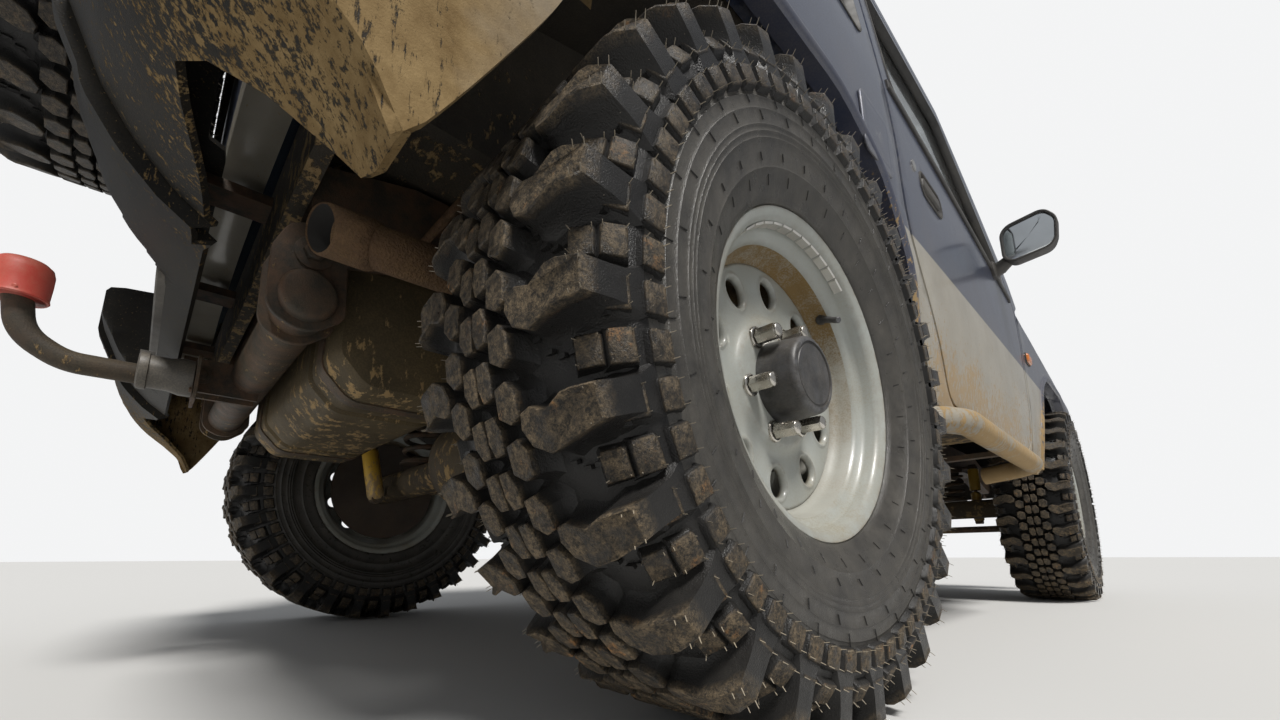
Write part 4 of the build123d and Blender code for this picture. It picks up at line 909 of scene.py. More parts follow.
# Body finishes
def body_material():
    """Dark blue metallic paint over a beige lower band, with dust, mud flecks and scuffs."""
    material, t, surface, where = new_material("body_paint")
    t.feed(surface, Coat_Weight=0.7, Coat_Roughness=0.16)
    z = t.place(where)[2]
    flakes = t.spread(where, 900.0, 2.0, 0.35, 0.65)
    blue = t.mix(flakes, (0.012, 0.022, 0.058), (0.03, 0.052, 0.115))
    beige = t.mix(t.spread(where, 9.0, 6.0, 0.3, 0.7), (0.27, 0.25, 0.205), (0.37, 0.345, 0.29))
    lower = t.ramp(z, 0.833, 0.829)
    colour = t.mix(lower, blue, beige)
    found = t.group(DUST, Color=colour, Dust_Color=DRY_DUST, Amount=0.5, Low=0.45, High=1.25, Scale=4.0)
    splash = t.group(MUD, Color=found["Color"], Amount=1.05, Level=0.62, Spread=0.3, Scale=85.0)
    scuffed = t.group(WEAR, Color=splash["Color"], Wear_Color=(0.3, 0.29, 0.27), Amount=0.35, Scale=45.0)
    t.feed(surface, Base_Color=scuffed["Color"])
    dirt = t.math("MAXIMUM", found["Mask"], splash["Mask"], True)
    clean = t.math("SUBTRACT", 1.0, t.math("MAXIMUM", dirt, t.times(lower, 0.75)), True)
    t.feed(surface, Metallic=t.times(clean, 0.45), Roughness=t.ramp(dirt, 0.0, 0.6, 0.3, 0.85))
    height = t.group(GRAIN, Fine_Scale=1100.0, Coarse_Scale=90.0, Coarse_Share=0.4)["Height"]
    bumped(t, surface, t.plus(height, t.times(splash["Height"], 6.0)), 0.18, 0.0006)
    return material


def bumper_material():
    """Matt black moulded plastic, caked with ochre mud thrown back from the wheel in streaks."""
    material, t, surface, where = new_material("bumper_plastic")
    black = t.mix(t.spread(where, 5.0, 5.0, 0.3, 0.7), (0.007, 0.0075, 0.008), (0.016, 0.016, 0.0165))
    t.feed(surface, Specular_IOR_Level=0.08)
    found = t.group(DUST, Color=black, Dust_Color=(0.085, 0.066, 0.036), Amount=0.3, Low=0.4, High=0.9,
        Scale=9.0)
    place = t.place(where)
    across = t.math("ABSOLUTE", place[0])
    back = t.math("SUBTRACT", place[1], at(0.36))
    inward = t.times(t.math("SUBTRACT", 0.86, across), 0.75)
    away = t.plus(back, inward)
    near = t.ramp(t.plus(away, t.times(t.noise(where, 7.0, 4.0), 0.22)), 0.86, 0.16)
    turned = t.node("ShaderNodeMapping", {"Vector": where, "Rotation": (0.55, 0.0, 0.2),
        "Scale": (1.0, 1.0, 0.13)})
    streaks = t.noise(turned.outputs[0], 210.0, 5.0, 0.7)
    clots = t.noise(where, 75.0, 6.0, 0.75)
    pattern = t.plus(t.times(streaks, 0.6), t.times(clots, 0.4))
    edge = t.ramp(near, 0.0, 1.0, 0.67, 0.36)
    flecks = t.ramp(t.noise(where, 330.0, 3.0, 0.6), 0.655, 0.7, 0.0, 0.75)
    mask = t.math("MAXIMUM", t.ramp(pattern, edge, t.plus(edge, 0.045)), flecks)
    ochre = t.mix(t.ramp(t.noise(where, 30.0, 6.0, 0.7), 0.3, 0.7), (0.125, 0.08, 0.034),
        (0.255, 0.18, 0.088))
    grey = t.ramp(t.plus(near, t.times(t.noise(where, 12.0, 4.0), 0.5)), 1.15, 1.45)
    ochre = t.mix(t.times(grey, 0.7), ochre, (0.27, 0.25, 0.21))
    t.feed(surface, Base_Color=t.mix(mask, found["Color"], ochre), Roughness=t.ramp(mask, 0.0, 1.0, 0.46,
        0.93))
    height = t.group(GRAIN, Fine_Scale=600.0, Coarse_Scale=60.0, Coarse_Share=0.5)["Height"]
    height = t.plus(t.times(height, 0.35), t.times(mask, t.plus(0.5, clots)))
    bumped(t, surface, height, 0.55, 0.0016)
    return material


def glass_material(name, tint, rough=0.02):
    """Clear or tinted pane."""
    material, t, surface, where = new_material(name)
    t.feed(surface, Base_Color=tint, Transmission_Weight=1.0, IOR=1.45)
    film = t.ramp(t.noise(where, 14.0, 6.0, 0.7), 0.3, 0.75, rough, rough + 0.04)
    t.feed(surface, Roughness=film)
    return material


PAINT = body_material()
BUMPER = bumper_material()
TRIM = finish_material("trim_plastic", (0.022, 0.022, 0.024), 0.5, grain=(900.0, 45.0, 0.4),
    bump=(0.35, 0.0004), dust=(DRY_DUST, 0.42, 0.35, 1.25, 8.0))
SEAL = finish_material("rubber_seal", (0.016, 0.016, 0.017), 0.62, dust=(DRY_DUST, 0.35, 0.4, 1.6, 16.0))
CHASSIS = finish_material("chassis_black", (0.028, 0.026, 0.024), 0.62, grain=(500.0, 18.0, 0.9),
    bump=(0.6, 0.0012), wear=((0.14, 0.07, 0.04), 0.6, 30.0), dust=((0.15, 0.115, 0.065), 0.55, 0.25,
    0.95, 6.0), mud=(0.55, 0.5, 0.3, 40.0), specular=0.25)
CASTING = finish_material("cast_parts", (0.05, 0.043, 0.036), 0.72, grain=(420.0, 25.0, 0.9),
    bump=(0.7, 0.0012), dust=((0.17, 0.125, 0.065), 0.75, 0.25, 0.95, 5.0), mud=(0.7, 0.5, 0.35, 35.0),
    specular=0.25)
YELLOW = finish_material("shock_yellow", (0.62, 0.37, 0.02), 0.42, coat=0.3,
    dust=((0.3, 0.2, 0.1), 0.6, 0.3, 0.9, 11.0), mud=(0.8, 0.5, 0.2, 60.0))
RUST = finish_material("rusty_steel", (0.048, 0.027, 0.016), 0.88, grain=(330.0, 22.0, 1.2),
    bump=(1.0, 0.003), dust=((0.155, 0.095, 0.042), 0.9, 0.35, 0.8, 22.0),
    wear=((0.17, 0.09, 0.05), 0.5, 60.0), vary=0.5, specular=0.25)
SOOT = finish_material("pipe_bore", (0.01, 0.009, 0.008), 0.95)
TANK = finish_material("tank_plastic", (0.035, 0.029, 0.02), 0.7, dust=((0.17, 0.125, 0.062), 0.9, 0.45,
    1.3, 4.0), mud=(0.6, 0.6, 0.3, 45.0), specular=0.25)
RED_CAP = finish_material("cap_red", (0.45, 0.03, 0.022), 0.5, grain=(700.0, 35.0, 0.5),
    dust=((0.42, 0.22, 0.14), 0.5, 0.3, 1.1, 25.0), wear=((0.55, 0.22, 0.16), 0.5, 40.0))
GLASS = glass_material("window_glass", (0.62, 0.68, 0.66))
DARK_GLASS = glass_material("tinted_glass", (0.22, 0.26, 0.25))
LAMP_CLEAR = glass_material("lamp_clear", (0.92, 0.94, 0.95), 0.05)
LAMP_RED = finish_material("lamp_red", (0.42, 0.012, 0.01), 0.16, coat=0.8,
    dust=(DRY_DUST, 0.3, 0.5, 1.4, 20.0))
LAMP_AMBER = finish_material("lamp_amber", (0.62, 0.16, 0.008), 0.2, coat=0.7,
    dust=(DRY_DUST, 0.35, 0.5, 1.4, 20.0))
MIRROR = finish_material("mirror_face", (0.8, 0.84, 0.86), 0.06, metallic=1.0, bump=(0.0, 0.0001))
PLATE_WHITE = finish_material("blank_plate", (0.62, 0.63, 0.61), 0.42, coat=0.2,
    dust=(DRY_DUST, 0.5, 0.4, 0.8, 14.0))
INTERIOR = finish_material("interior_trim", (0.05, 0.05, 0.053), 0.66, grain=(620.0, 60.0, 0.5),
    bump=(0.5, 0.0006))
RACK = finish_material("rack_black", (0.02, 0.02, 0.021), 0.42, grain=(600.0, 40.0, 0.6), coat=0.15,
    wear=((0.18, 0.1, 0.06), 0.5, 50.0), dust=(DRY_DUST, 0.25, 0.5, 2.2, 12.0))

# Body form: half width of its side at each height, then stations of its tail and nose
SIDE_LINE = mm(((460, 822), (560, 837), (660, 847), (820, 850.5), (1000, 849.5), (1120, 843), (1190, 837),
    (1400, 810), (1580, 785), (1700, 768)))
TAIL_FACE = 0.559
TAIL_CORNER = 0.055
NOSE = -2.985
GLASS_DEPTH = 0.02
# Thickness of the doors and sides with their frames
SHEET = 0.052


def smooth(table, x):
    """Value read off a table of (x, value) along a smooth curve."""
    k = 0
    while k < len(table) - 2 and x > table[k + 1][0]:
        k += 1
    x0, a = table[k]
    x1, b = table[k + 1]
    ends = []
    for j in (k, k + 1):
        low, high = table[max(j - 1, 0)], table[min(j + 1, len(table) - 1)]
        ends.append((high[1] - low[1]) / (high[0] - low[0]) * (x1 - x0))
    s = (x - x0) / (x1 - x0)
    if s < 0:
        return a + ends[0] * s
    if s > 1:
        return b + ends[1] * (s - 1)
    leaving = ((2 * s - 3) * s * s + 1) * a + ((s - 2) * s + 1) * s * ends[0]
    return leaving + (3 - 2 * s) * s * s * b + (s - 1) * s * s * ends[1]


def belt(y):
    """Height of the window line at a station."""
    return 1.148 + 0.12 * (y + 1.0)


def side(y, z, lift=0.0):
    """Left body side: y and z on it."""
    return Vector((smooth(SIDE_LINE, z) - 0.01 * ((y + 1.1) / 1.9) ** 2 + lift, at(y), z))


def quarter(s, z, lift=0.0):
    """Left body side that turns round the rear corner; s runs back and then inward across the tail."""
    start = TAIL_FACE - TAIL_CORNER
    if s <= start:
        return side(s, z, lift)
    x = side(start, z).x - TAIL_CORNER
    turn = (s - start) / TAIL_CORNER
    if turn < math.pi / 2:
        r = TAIL_CORNER + lift
        return Vector((x + r * math.cos(turn), at(start + r * math.sin(turn)), z))
    return Vector((x - (turn - math.pi / 2) * TAIL_CORNER, at(TAIL_FACE + lift), z))


def wing(y, t, lift=0.0):
    """Left front wing: up its side and over the shoulder to the bonnet's edge; t is z at first."""
    low, r = 0.93, 0.085
    top = along(((-2.985, 0.985), (-2.9, 1.018), (-2.3, 1.062), (-1.6, 1.112)), y)
    x = side(y, low).x
    rise = top - low - r
    if t <= low + rise:
        return side(y, t, lift) if t < low else Vector((side(y, t).x + lift, at(y), t))
    turn = (t - low - rise) / r
    end = 1.32
    if turn < end:
        return Vector((x - r + (r + lift) * math.cos(turn), at(y), top - r + (r + lift) * math.sin(turn)))
    out = (turn - end) * r
    return Vector((x - r + (r + lift) * math.cos(end) - out * math.sin(end), at(y),
        top - r + (r + lift) * math.sin(end) + out * math.cos(end) * 0.2))


def tail(x, z, lift=0.0):
    """Rear face with a slight crown."""
    return Vector((x, at(TAIL_FACE - 0.009 * (x / 0.64) ** 2 + lift), z))


def nose(x, z, lift=0.0):
    """Front face, swept back a little to the sides."""
    return Vector((x, at(NOSE + 0.006 + 0.018 * (x / 0.62) ** 2 - lift), z))


def roof_sheet(x, y, lift=0.0):
    """Crowned roof."""
    z = smooth(((0.0, 1.754), (0.3, 1.751), (0.55, 1.737), (0.66, 1.722), (0.712, 1.709)), abs(x))
    z -= 0.02 * max(0.0, (-1.05 - y) / 0.185) ** 2 + 0.012 * max(0.0, (y - 0.38) / 0.18) ** 2
    return Vector((x, at(y), z + lift))


def bonnet_sheet(x, y, lift=0.0):
    """Bonnet with a raised middle, rolled down at its nose."""
    z = along(((-2.97, 1.018), (-1.706, 1.096)), y)
    z += smooth(((0.0, 0.0), (0.3, -0.001), (0.36, -0.006), (0.45, -0.01), (0.56, -0.016), (0.62, -0.03)),
        abs(x))
    z -= 0.04 * max(0.0, (-2.87 - y) / 0.1) ** 2
    return Vector((x, at(y), z + lift))


def upright(y, slope=0.0, start=0.0, way=1):
    """Flat surface across the car at a station, of X and Z, leaning by a slope from a height up."""
    return lambda a, b, lift=0.0: Vector((a, at(y + slope * (b - start) + way * lift), b))


def screen(x, t, lift=0.0):
    """Raked windscreen plane, bowed forward in the middle; t runs from 0 at the base to 1."""
    y = along(((0.0, -1.612), (1.0, -1.252)), t) - 0.018 * (1 - (x / 0.75) ** 2)
    return Vector((x, at(y - 0.85 * lift), 1.118 + 0.578 * t + 0.53 * lift))


# Angle between the points of a rounded corner
ARC_STEP = 0.16


def arcs(corners, radius=0.0):
    """Outline with its corners rounded; a corner is (a, b) or (a, b, radius)."""

    result = []
    count = len(corners)
    for k in range(count):
        here = Vector(corners[k][:2])
        before, after = Vector(corners[k - 1][:2]), Vector(corners[(k + 1) % count][:2])
        r = corners[k][2] if len(corners[k]) > 2 else radius
        a, b = (before - here), (after - here)
        angle = a.angle(b)
        if r <= 0 or angle > math.pi - 0.02:
            result.append(tuple(here))
            continue
        reach = min(r / math.tan(angle / 2), 0.48 * a.length, 0.48 * b.length)
        r = reach * math.tan(angle / 2)
        start, end = here + a.normalized() * reach, here + b.normalized() * reach
        centre = here + (a.normalized() + b.normalized()).normalized() * (r / math.sin(angle / 2))
        turn = math.pi - angle
        pieces = max(2, int(turn / ARC_STEP))
        first = start - centre
        way = 1 if first.x * (end - centre).y - first.y * (end - centre).x > 0 else -1
        for j in range(pieces + 1):
            c, s = math.cos(way * turn * j / pieces), math.sin(way * turn * j / pieces)
            result.append((centre.x + first.x * c - first.y * s, centre.y + first.x * s + first.y * c))
    return result


def panel(name, outlines, surface, wall, material, outward, step=0.045, edge=0.0025, offset=0.003):
    """Sheet between an outline and its holes, laid on a body surface and given its wall."""
    bm = outlined([[(a, b, 0) for a, b in outline] for outline in outlines], normal=(0, 0, 1))
    steps = (step, step) if isinstance(step, float) else step
    for axis in (0, 1):
        places = [p[axis] for p in outlines[0]]
        for k in range(math.ceil(min(places) / steps[axis]), math.floor(max(places) / steps[axis]) + 1):
            cut(bm, axis, k * steps[axis] + offset, 1e-6)
    spare_edges = []
    for edge_here in bm.edges:
        if len(edge_here.link_faces) != 2:
            continue
        a, b = edge_here.verts[0].co, edge_here.verts[1].co
        on_line = False
        for axis in (0, 1):
            place = (a[axis] - offset) / steps[axis]
            on_line = on_line or (abs(a[axis] - b[axis]) < 1e-5 and abs(place - round(place)) < 1e-3)
        if not on_line:
            spare_edges.append(edge_here)
    bmesh.ops.dissolve_edges(bm, edges=spare_edges, use_verts=False)
    for vert in bm.verts:
        vert.co = surface(vert.co.x, vert.co.y)
    bmesh.ops.recalc_face_normals(bm, faces=bm.faces)
    out = Vector(outward)
    if sum(face.normal.dot(out) * face.calc_area() for face in bm.faces) < 0:
        bmesh.ops.reverse_faces(bm, faces=bm.faces)
    mesh = bpy.data.meshes.new(name)
    bm.to_mesh(mesh)
    bm.free()
    mesh.materials.append(material)
    obj = linked(name, mesh)
    walled(obj, wall)
    if edge:
        rounded(obj, edge, 40)
    shade(obj.data, 35)
    return obj


def pressed(shell, outline, rows, surface, slot=0, caps=LAST):
    """Form over an outline on a surface; rows are (spread of the outline, lift) in millimetres."""
    rows = mm(rows)
    rings = []
    for spread, lift in rows:
        rings.append([surface(a, b, lift) for a, b in grown(outline, spread)])
    if caps[1]:
        edge = grown(outline, rows[-1][0])
        middle_a, middle_b = (sum(p[k] for p in edge) / len(edge) for k in (0, 1))
        for share in (0.97, 0.66, 0.33, 0.02):
            rings.append([surface(middle_a + (a - middle_a) * share, middle_b + (b - middle_b) * share,
                rows[-1][1]) for a, b in edge])
    shell.loft(rings, slot, caps=caps)


def swept(shell, line, section, slot=0, closed=False, up=(0, 0, 1)):
    """Section of (across, up) points swept along a line; across is square to the line and to up."""
    count = len(line)
    rings = []
    for k in range(count):
        here = Vector(line[k])
        before = Vector(line[k - 1]) if k or closed else here
        after = Vector(line[(k + 1) % count]) if k < count - 1 or closed else here
        way = (after - before).normalized()
        across = way.cross(Vector(up)).normalized()
        rise = across.cross(way)
        rings.append([here + across * a + rise * b for a, b in section])
    if closed:
        rings.append(rings[0])
    shell.loft(rings, slot, caps=(not closed, not closed))


def both(obj, name, replaced=None):
    """Settles a piece on the left door and its mirror image on the right one."""
    other = copied(obj, name + "_right", MIRRORED)
    obj.name = name + "_left"
    obj.data.name = obj.name
    for door, way in ((obj, "_left"), (other, "_right")):
        settled(door, "door" + way, (replaced + way,) if replaced else ())


def pair(obj, name, body, replaced=()):
    """Joins a left piece with its mirror image as one piece."""
    other = copied(obj, name + "_other", MIRRORED)
    whole = joined(name, [obj, other])
    return settled(whole, body, replaced)


# Side outlines, (y, z, corner radius) from the rear axle
DOOR = [(-1.59, 0.54, 0.05), (-0.68, 0.52, 0.1), (-0.455, 0.85, 0.3), (-0.45, belt(-0.45), 0.0),
    (-0.485, 1.648, 0.045), (-1.165, 1.655, 0.05), (-1.545, belt(-1.545) + 0.025, 0.06),
    (-1.59, belt(-1.59) - 0.025, 0.03)]
DOOR_HOLE = [(-1.598, 0.532, 0.055), (-0.675, 0.512, 0.11), (-0.441, 0.844, 0.31),
    (-0.436, belt(-0.45), 0.0), (-0.471, 1.656, 0.05), (-1.17, 1.663, 0.055),
    (-1.553, belt(-1.545) + 0.03, 0.065), (-1.598, belt(-1.59) - 0.02, 0.035)]
DOOR_WINDOW = [(-1.495, belt(-1.495) + 0.015, 0.03), (-0.515, belt(-0.515) + 0.015, 0.04),
    (-0.54, 1.6, 0.05), (-1.14, 1.605, 0.05)]
QUARTER_WINDOW = [(-0.375, belt(-0.375) + 0.03, 0.04), (0.39, belt(-0.375) + 0.06, 0.07),
    (0.33, 1.59, 0.07), (-0.395, 1.6, 0.04)]
QUARTER = [(-1.62, 0.5, 0.02), (-0.56, 0.5, 0.03), (-0.48, 0.64, 0.0), (-0.46, 0.64, 0.0),
    (-0.44, 0.76, 0.2), (-0.335, 0.905, 0.16), (-0.17, 0.97, 0.22), (0.15, 0.972, 0.24),
    (0.29, 0.892, 0.16), (0.352, 0.752, 0.0), (0.728, 0.752, 0.01), (0.728, 1.19, 0.2),
    (0.732, 1.698, 0.0), (-1.215, 1.698, 0.02), (-1.68, belt(-1.59) + 0.02, 0.01),
    (-1.62, belt(-1.59) - 0.015, 0.01)]
FRONT_ARCH = mm(((-1810, 500, 0), (-1815, 640, 200), (-1950, 850, 260), (-2150, 945, 260),
    (-2570, 945, 280), (-2750, 840, 240), (-2842, 690, 0)))
HANDLE_HOLE = rect(-0.735, 0.992, -0.59, 1.052, 0.024)


def make_sides():
    """Rear quarters, doors with glass, trim, handles, locks and cards, and the fuel flap."""
    left = panel("quarter", [arcs(QUARTER), arcs(DOOR_HOLE), arcs(QUARTER_WINDOW)], quarter, SHEET, PAINT,
        (1, 0.2, 0))
    pair(left, "body_sides", "body", ("side_panels",))
    door = panel("door", [arcs(DOOR), arcs(DOOR_WINDOW), arcs(HANDLE_HOLE)], side, SHEET, PAINT,
        (1, 0, 0))
    both(door, "door_panel", "door")
    deep = lambda a, b, lift=0.0: side(a, b, lift - GLASS_DEPTH)
    for name, outline, glass in (("door", DOOR_WINDOW, GLASS), ("quarter", QUARTER_WINDOW, DARK_GLASS)):
        shape = arcs(outline)
        pane = panel(name + "_pane", [grown(shape, -0.001)], deep, 0.005, glass, (1, 0, 0), 0.12, 0.0)
        if name == "door":
            both(pane, "door_pane", "door_glass")
        else:
            pair(pane, "quarter_panes", "body")
        seal = Shell()
        pressed(seal, shape, ((4, 0.6), (3.5, 2.2), (-1, 2.6), (-6, -3), (-13, -11), (-15, -18.5),
            (-14.5, -19.5), (-0.5, -19.8)), side, caps=OPEN)
        obj = built(name + "_seal", seal, [SEAL], 50)
        if name == "door":
            both(obj, "door_seal")
        else:
            pair(obj, "quarter_seals", "body")
    trim = Shell()
    strip = []
    for start, end, rise in ((-1.53, -0.47, -0.02), (-0.47, -1.53, 0.004)):
        c, d = belt(start) + rise, belt(end) + rise
        strip += [(start + (end - start) * j / 8, c + (d - c) * j / 8) for j in range(9)]
    pressed(trim, strip, ((0, -1), (0, 4), (-2, 5.5), (-6, 6.5)), side)
    inner = arcs(HANDLE_HOLE)
    pressed(trim, inner, ((5, 0.2), (4.5, 2.2), (1.5, 3), (-1, 1.8), (-3, -6), (-7, -18), (-14, -22.5)),
        side)
    paddle = arcs(rect(-0.728, 1.012, -0.606, 1.044, 0.012))
    pressed(trim, paddle, ((0, -14), (0, -1), (-2, 1.5), (-6, 2.8)), side, caps=BOTH)
    both(built("handle", trim, [TRIM], 40), "door_trim")
    lock = Shell()
    for row in (((0, -1), (0, 2.2), (-2, 3.2)), ((-4.5, 3), (-5, 2))):
        ring = [(-0.55 + a, 1.038 + b) for a, b in circle(0.0135, 24)]
        pressed(lock, ring, row, side)
    both(built("lock", lock, [CHROME], 40), "door_lock")
    inside = lambda a, b, lift=0.0: side(a, b, -SHEET - lift)
    card = Shell()
    shape = arcs([(-1.535, 0.605, 0.04), (-0.72, 0.59, 0.09), (-0.515, 0.87, 0.15),
        (-0.515, belt(-0.515) - 0.03, 0.03), (-1.535, belt(-1.535) - 0.03, 0.03)])
    pressed(card, shape, ((0, -2), (0, 4.5), (-3, 6.5)), inside)
    pocket = arcs(mm([(-1440, 640, 30), (-900, 630, 30), (-900, 760, 30), (-1440, 770, 30)]))
    pressed(card, pocket, ((0, 4), (-2, 20), (-6, 23.5), (-12, 24.5)), inside, 1)
    rest = arcs(mm([(-1180, 872, 20), (-740, 886, 20), (-740, 936, 20), (-1180, 922, 20)]))
    pressed(card, rest, ((3, 4), (0, 12), (0, 38), (-4, 44), (-10, 46)), inside, 1)
    hub, knob = inside(-1.26, 0.905, 0.0), inside(-1.33, 0.985, 0.022)
    card.tube([hub, hub - Vector((0.016, 0, 0)), hub - Vector((0.019, 0, 0))], [0.02, 0.019, 0.015], 20,
        1)
    card.tube([hub - Vector((0.014, 0, 0)), knob], [0.008, 0.006], 10, 1)
    card.tube([knob + Vector((0.004, 0, 0)), knob - Vector((0.02, 0, 0)), knob - Vector((0.024, 0, 0))],
        [0.009, 0.011, 0.007], 14, 1)
    both(built("card", card, [INTERIOR, TRIM], 40), "door_card")
    flap = Shell()
    shape = arcs(rect(-0.385, 0.9, -0.255, 1.03, 0.018))
    pressed(flap, shape, ((-2, -3), (0, -1.8), (0, 0.6), (-1.5, 2), (-10, 2.6), (-14, 2), (-18, 2.6)),
        side, caps=BOTH)
    obj = built("flap", flap, [PAINT], 30)
    obj.data.transform(Matrix.Translation((-0.0032, 0, 0)) @ MIRRORED)
    obj.data.flip_normals()
    obj.name = "fuel_flap_dressed"
    settled(obj, "fuel_flap", ("fuel_flap",))


make_sides()

# Outlines with corner radii: wing (y, height), bonnet and roof (x, y), tailgate (x, z), windscreen (x, t)
FRONT_WING =  mm([(-2985, 690, 10), (-2985, 780, 0), (-2922, 790, 6), (-2922, 948, 6), (-2985, 958, 0),
    (-2985, 1185, 20), (-1626, 1318, 10), (-1626, 500, 10), (-1745, 475, 20)])
BONNET_EDGE = [(-0.618, -2.962, 0.03), (0.618, -2.962, 0.03), (0.618, -1.7065, 0.01),
    (-0.618, -1.7065, 0.01)]
ROOF_EDGE = [(-0.709, -1.233, 0.03), (0.709, -1.233, 0.03), (0.709, 0.559, 0.05), (-0.709, 0.559, 0.05)]
TAILGATE = mm([(-639, 757, 30), (639, 757, 30), (639, 1190, 200), (571, 1654, 40), (-571, 1654, 40),
    (-639, 1190, 200)])
TAILGATE_WINDOW = [(-0.55, 1.2, 0.05), (0.55, 1.2, 0.05), (0.49, 1.58, 0.06), (-0.49, 1.58, 0.06)]
SCREEN = [(-0.756, 0.0, 0.02), (0.756, 0.0, 0.02), (0.704, 0.985, 0.05), (-0.704, 0.985, 0.05)]


def make_front_and_top():
    """Front wings, bonnet, roof with gutters and header, tailgate, windscreen and rear glass."""
    arch = arcs(FRONT_ARCH)
    start = arch.index(min(arch, key=lambda p: abs(p[0] + 1.81) + abs(p[1] - 0.5)))
    outline = arcs(FRONT_WING[:-1]) + [FRONT_WING[-1][:2]] + arch[start:]
    left = panel("wing", [outline], wing, 0.045, PAINT, (1, 0, 0.3), (0.045, 0.018))
    pair(left, "wings_dressed", "body", ("front_wings",))
    lid = panel("bonnet_dressed", [arcs(BONNET_EDGE)], bonnet_sheet, 0.026, PAINT, (0, 0, 1),
        (0.04, 0.05), 0.004)
    settled(lid, "bonnet", ("bonnet",))
    cover = panel("roof_dressed", [arcs(ROOF_EDGE)], roof_sheet, 0.032, PAINT, (0, 0, 1), (0.05, 0.08),
        0.004)
    settled(cover, "body", ("roof",))
    gate = panel("tailgate_dressed", [arcs(TAILGATE), arcs(TAILGATE_WINDOW)], tail, SHEET, PAINT,
        (0, 1, 0), 0.06, 0.003)
    settled(gate, "tailgate", ("tailgate",))
    deep = lambda a, b, lift=0.0: tail(a, b, lift - GLASS_DEPTH)
    shape = arcs(TAILGATE_WINDOW)
    pane = panel("tailgate_pane", [grown(shape, -0.001)], deep, 0.005, DARK_GLASS, (0, 1, 0), 0.2, 0.0)
    settled(pane, "tailgate", ("tailgate_glass",))
    seal = Shell()
    pressed(seal, shape, ((4, 0.6), (3.5, 2.2), (-1, 2.6), (-6, -3), (-14, -11), (-16, -18.5),
        (-15.5, -19.5), (-0.5, -19.8)), tail, caps=OPEN)
    piece("tailgate_seal", seal, [SEAL], "tailgate", angle=50)
    card = Shell()
    inside = lambda a, b, lift=0.0: tail(a, b, -SHEET - lift)
    shape = arcs(rect(-0.56, 0.825, 0.56, 1.145, 0.04))
    pressed(card, shape, ((0, -2), (0, 1.6), (-3, 2.8)), inside)
    piece("tailgate_card", card, [INTERIOR], "tailgate")
    shape = arcs(SCREEN)
    pane = panel("screen_pane", [shape], screen, 0.006, GLASS, (0, -1, 0.6), (0.08, 0.2), 0.0)
    settled(pane, "body", ("fixed_glass",))
    seal = Shell()
    pressed(seal, shape, ((4, -6), (10, 0.5), (8, 4), (-2, 4.5), (-14, 2.5), (-16, 0.5)), screen,
        caps=OPEN)
    piece("screen_seal", seal, [SEAL], "body", angle=50)
    gutter = Shell()
    for way in (1, -1):
        line = [Vector((way * (0.742 - 0.03 * max(0.0, (y - 0.44) / 0.06) ** 2), at(y),
            1.703 - 0.01 * max(0.0, (y - 0.44) / 0.06) ** 2))
            for y in [-1.215 + 1.715 * k / 24 for k in range(25)]]
        swept(gutter, line, ((-0.01, -0.006), (0.01, -0.006), (0.011, 0.002), (0.0, 0.006),
            (-0.011, 0.002)))
    piece("roof_gutters", gutter, [TRIM], "body")
    header = Shell()
    rings = []
    for x in [-0.6 + 1.2 * k / 24 for k in range(25)]:
        top = roof_sheet(x, 0.55, -0.026).z
        rings.append([(x, at(y), z) for y, z in ((0.548, 1.66), (0.5515, 1.6635), (0.5515, top),
            (0.505, top), (0.505, 1.6635), (0.5085, 1.66))])
    header.loft(rings)
    piece("rear_header", header, [PAINT], "body")


def arch_lips():
    """Rolled lips round the four wheel arches."""
    shell = Shell()
    section = mm(((-30, -14), (0.5, -15), (6, -10), (8.5, -2), (7, 6), (2, 12), (-3, 14), (-4, 6),
        (-6, -6), (-30, -9)))
    rear = [(-0.474, 0.56, 0.0)] + QUARTER[4:9] + [(0.352, 0.7525, 0.0)]
    for outline in (rear, FRONT_ARCH):
        edge = arcs([(-5, 0, 0)] + list(outline) + [(5, 0, 0)])[1:-1]
        centre_y = sum(p[0] for p in edge) / len(edge)
        rings = []
        for k, (y, z) in enumerate(edge):
            before, after = Vector(edge[max(k - 1, 0)]), Vector(edge[min(k + 1, len(edge) - 1)])
            way = (after - before).normalized()
            out = Vector((way.y, -way.x))
            if out.dot(Vector((y - centre_y, z - 0.4))) < 0:
                out = -out
            rings.append([side(y + out.x * b, z + out.y * b, a) for a, b in section])
        shell.loft(rings)
    pair(built("arch_lips", shell, [LIP_PAINT], 40), "arch_lips", "body")


LIP_PAINT = finish_material("lip_paint", (0.022, 0.035, 0.08), 0.4, metallic=0.25, coat=0.4,
    dust=(DRY_DUST, 0.6, 0.35, 1.2, 7.0), mud=(1.1, 0.72, 0.32, 70.0))
make_front_and_top()
arch_lips()

